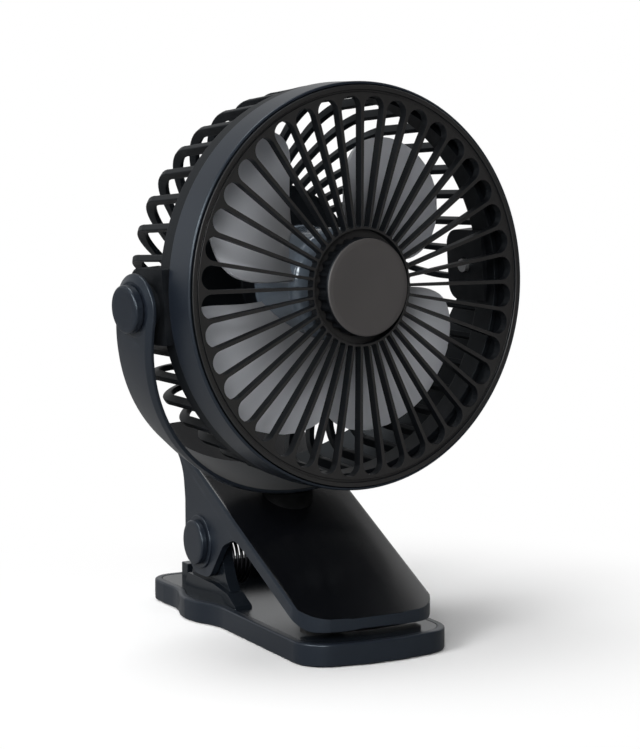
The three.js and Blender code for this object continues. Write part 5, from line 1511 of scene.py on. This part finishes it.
@dataclass
class Studio:
    """The pale floor, the soft light and the camera at the viewing angle."""

    place: tuple[float, float, float] = (-0.4627, -0.8747, 0.2451)
    look: tuple[float, float, float] = (0.4619, 0.8747, -0.1467)
    lens: float = 129.7
    aim: tuple[float, float, float] = (0, 0, 0.1)
    floor_size: float = 6.0
    floor_seen: float = 0.95
    floor_lit: float = 0.3
    shadow_reach: float = 0.2

    def build(self) -> None:
        """Builds the camera, the floor, the lamps and the world."""
        self._camera()
        self._floor()
        self._lamp("key", (-1.0, -0.3, 0.7), 0.5, 9.0)
        self._lamp("front", (-0.75, -1.25, 0.65), 0.5, 14.0)
        self._lamp("top", (-0.2, 0.25, 1.25), 0.7, 6.5)
        self._lamp("edge", (1.0, 0.42, 0.8), 0.5, 1.3)
        self._world()
        bpy.context.scene.view_settings.view_transform = "Standard"

    def _camera(self) -> None:
        """The camera."""
        data = bpy.data.cameras.new("camera")
        data.lens = self.lens
        data.sensor_width = 36.0
        data.clip_start, data.clip_end = 0.05, 50.0
        camera = bpy.data.objects.new("camera", data)
        camera.location = self.place
        camera.rotation_mode = "QUATERNION"
        camera.rotation_quaternion = Vector(self.look).to_track_quat("-Z", "Y")
        bpy.context.scene.collection.objects.link(camera)
        bpy.context.scene.camera = camera

    def _floor(self) -> None:
        """The floor, pale, with the shadow of the fan on it."""
        form = bmesh.new()
        bmesh.ops.create_grid(form, x_segments=1, y_segments=1, size=self.floor_size)
        mesh = bpy.data.meshes.new("floor")
        form.to_mesh(mesh)
        form.free()
        floor = bpy.data.objects.new("floor", mesh)
        bpy.context.scene.collection.objects.link(floor)
        material = bpy.data.materials.new("pale_floor")
        material.use_nodes = True
        nodes = Nodes(material.node_tree)
        out = nodes.add("ShaderNodeOutputMaterial")
        pale = nodes.add("ShaderNodeBsdfDiffuse")
        pale.inputs["Color"].default_value = (*[self.floor_seen] * 3, 1)
        dim = nodes.add("ShaderNodeBsdfDiffuse")
        dim.inputs["Color"].default_value = (*[self.floor_lit] * 3, 1)
        white = nodes.add("ShaderNodeEmission")
        reach = nodes.add("ShaderNodeVectorMath", operation="LENGTH")
        nodes.link(nodes.add("ShaderNodeTexCoord").outputs["Object"], reach.inputs[0])
        away = nodes.ramp(reach.outputs["Value"], self.shadow_reach * 0.3, self.shadow_reach, 0.0, 1.0)
        seen = nodes.add("ShaderNodeMixShader")
        nodes.link(away, seen.inputs["Fac"])
        nodes.link(pale.outputs[0], seen.inputs[1])
        nodes.link(white.outputs[0], seen.inputs[2])
        both = nodes.add("ShaderNodeMixShader")
        nodes.link(nodes.add("ShaderNodeLightPath").outputs["Is Camera Ray"], both.inputs["Fac"])
        nodes.link(dim.outputs[0], both.inputs[1])
        nodes.link(seen.outputs[0], both.inputs[2])
        nodes.link(both.outputs[0], out.inputs["Surface"])
        mesh.materials.append(material)

    def _lamp(self, name: str, place: tuple[float, float, float], size: float, power: float) -> None:
        """One soft lamp that looks at the fan."""
        data = bpy.data.lights.new(name, "AREA")
        data.shape = "SQUARE"
        data.size = size
        data.energy = power
        lamp = bpy.data.objects.new(name, data)
        lamp.location = place
        lamp.rotation_mode = "QUATERNION"
        lamp.rotation_quaternion = (Vector(self.aim) - Vector(place)).to_track_quat("-Z", "Y")
        bpy.context.scene.collection.objects.link(lamp)

    def _world(self) -> None:
        """A pale world near the horizon, white to the camera, and a dim ceiling."""
        world = bpy.data.worlds.new("studio")
        world.use_nodes = True
        nodes = Nodes(world.node_tree)
        out = nodes.add("ShaderNodeOutputWorld")
        seen = nodes.add("ShaderNodeBackground")
        seen.inputs["Strength"].default_value = 1.0
        lit = nodes.add("ShaderNodeBackground")
        place = nodes.add("ShaderNodeTexCoord").outputs["Generated"]
        height = nodes.add("ShaderNodeSeparateXYZ")
        nodes.link(place, height.inputs[0])
        upward = nodes.ramp(height.outputs["Z"], 0.15, 0.8, 1.0, 0.4)
        behind = nodes.ramp(height.outputs["Y"], -0.1, 0.8, 0.14, 0.68)
        nodes.link(nodes.math("MULTIPLY", upward, behind), lit.inputs["Strength"])
        path = nodes.add("ShaderNodeLightPath")
        mixed = nodes.add("ShaderNodeMixShader")
        nodes.link(path.outputs["Is Camera Ray"], mixed.inputs["Fac"])
        nodes.link(lit.outputs[0], mixed.inputs[1])
        nodes.link(seen.outputs[0], mixed.inputs[2])
        nodes.link(mixed.outputs[0], out.inputs["Surface"])
        seen.inputs["Color"].default_value = lit.inputs["Color"].default_value = (1, 1, 1, 1)
        bpy.context.scene.world = world


def main() -> None:
    """Builds the studio and every sub-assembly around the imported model."""
    logging.basicConfig(level=logging.INFO, format="%(name)s: %(message)s")
    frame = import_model()
    Studio().build()
    dresser = Dresser(frame)
    for part in (
        Bezel(), Grille(), Cage(), RearCover(), Impeller(), Yoke(), LowerJaw(), UpperJaw(), Spring(),
    ):
        part.build(dresser)
    dresser.keep([
        "motor_can", "motor_shaft", "clip_pin", "charge_socket", "tilt_axle_right", "tilt_axle_left",
        "base_screw_1", "base_screw_2", "base_screw_3", "base_screw_4", "swivel_washer",
    ], Finishes.steel)
    dresser.keep(["swivel_clip", "switch_block"], Finishes.dark_steel)
    dresser.keep(["motor_magnet_right", "motor_magnet_left", "motor_rotor"], Finishes.iron)
    dresser.keep(["motor_bush_front", "motor_bush_rear"], Finishes.bronze)
    dresser.keep(["charge_board", "control_board"], Finishes.board)
    dresser.keep(["battery_cell"], Finishes.foil)
    dresser.keep(["battery_tray"], Finishes.satin)
    dresser.keep(["motor_end_cap"], Finishes.nylon)
    dresser.keep(["tilt_washer_right", "tilt_washer_left", "jaw_grip_pad"], Finishes.rubber)


if __name__ == "__main__":
    main()
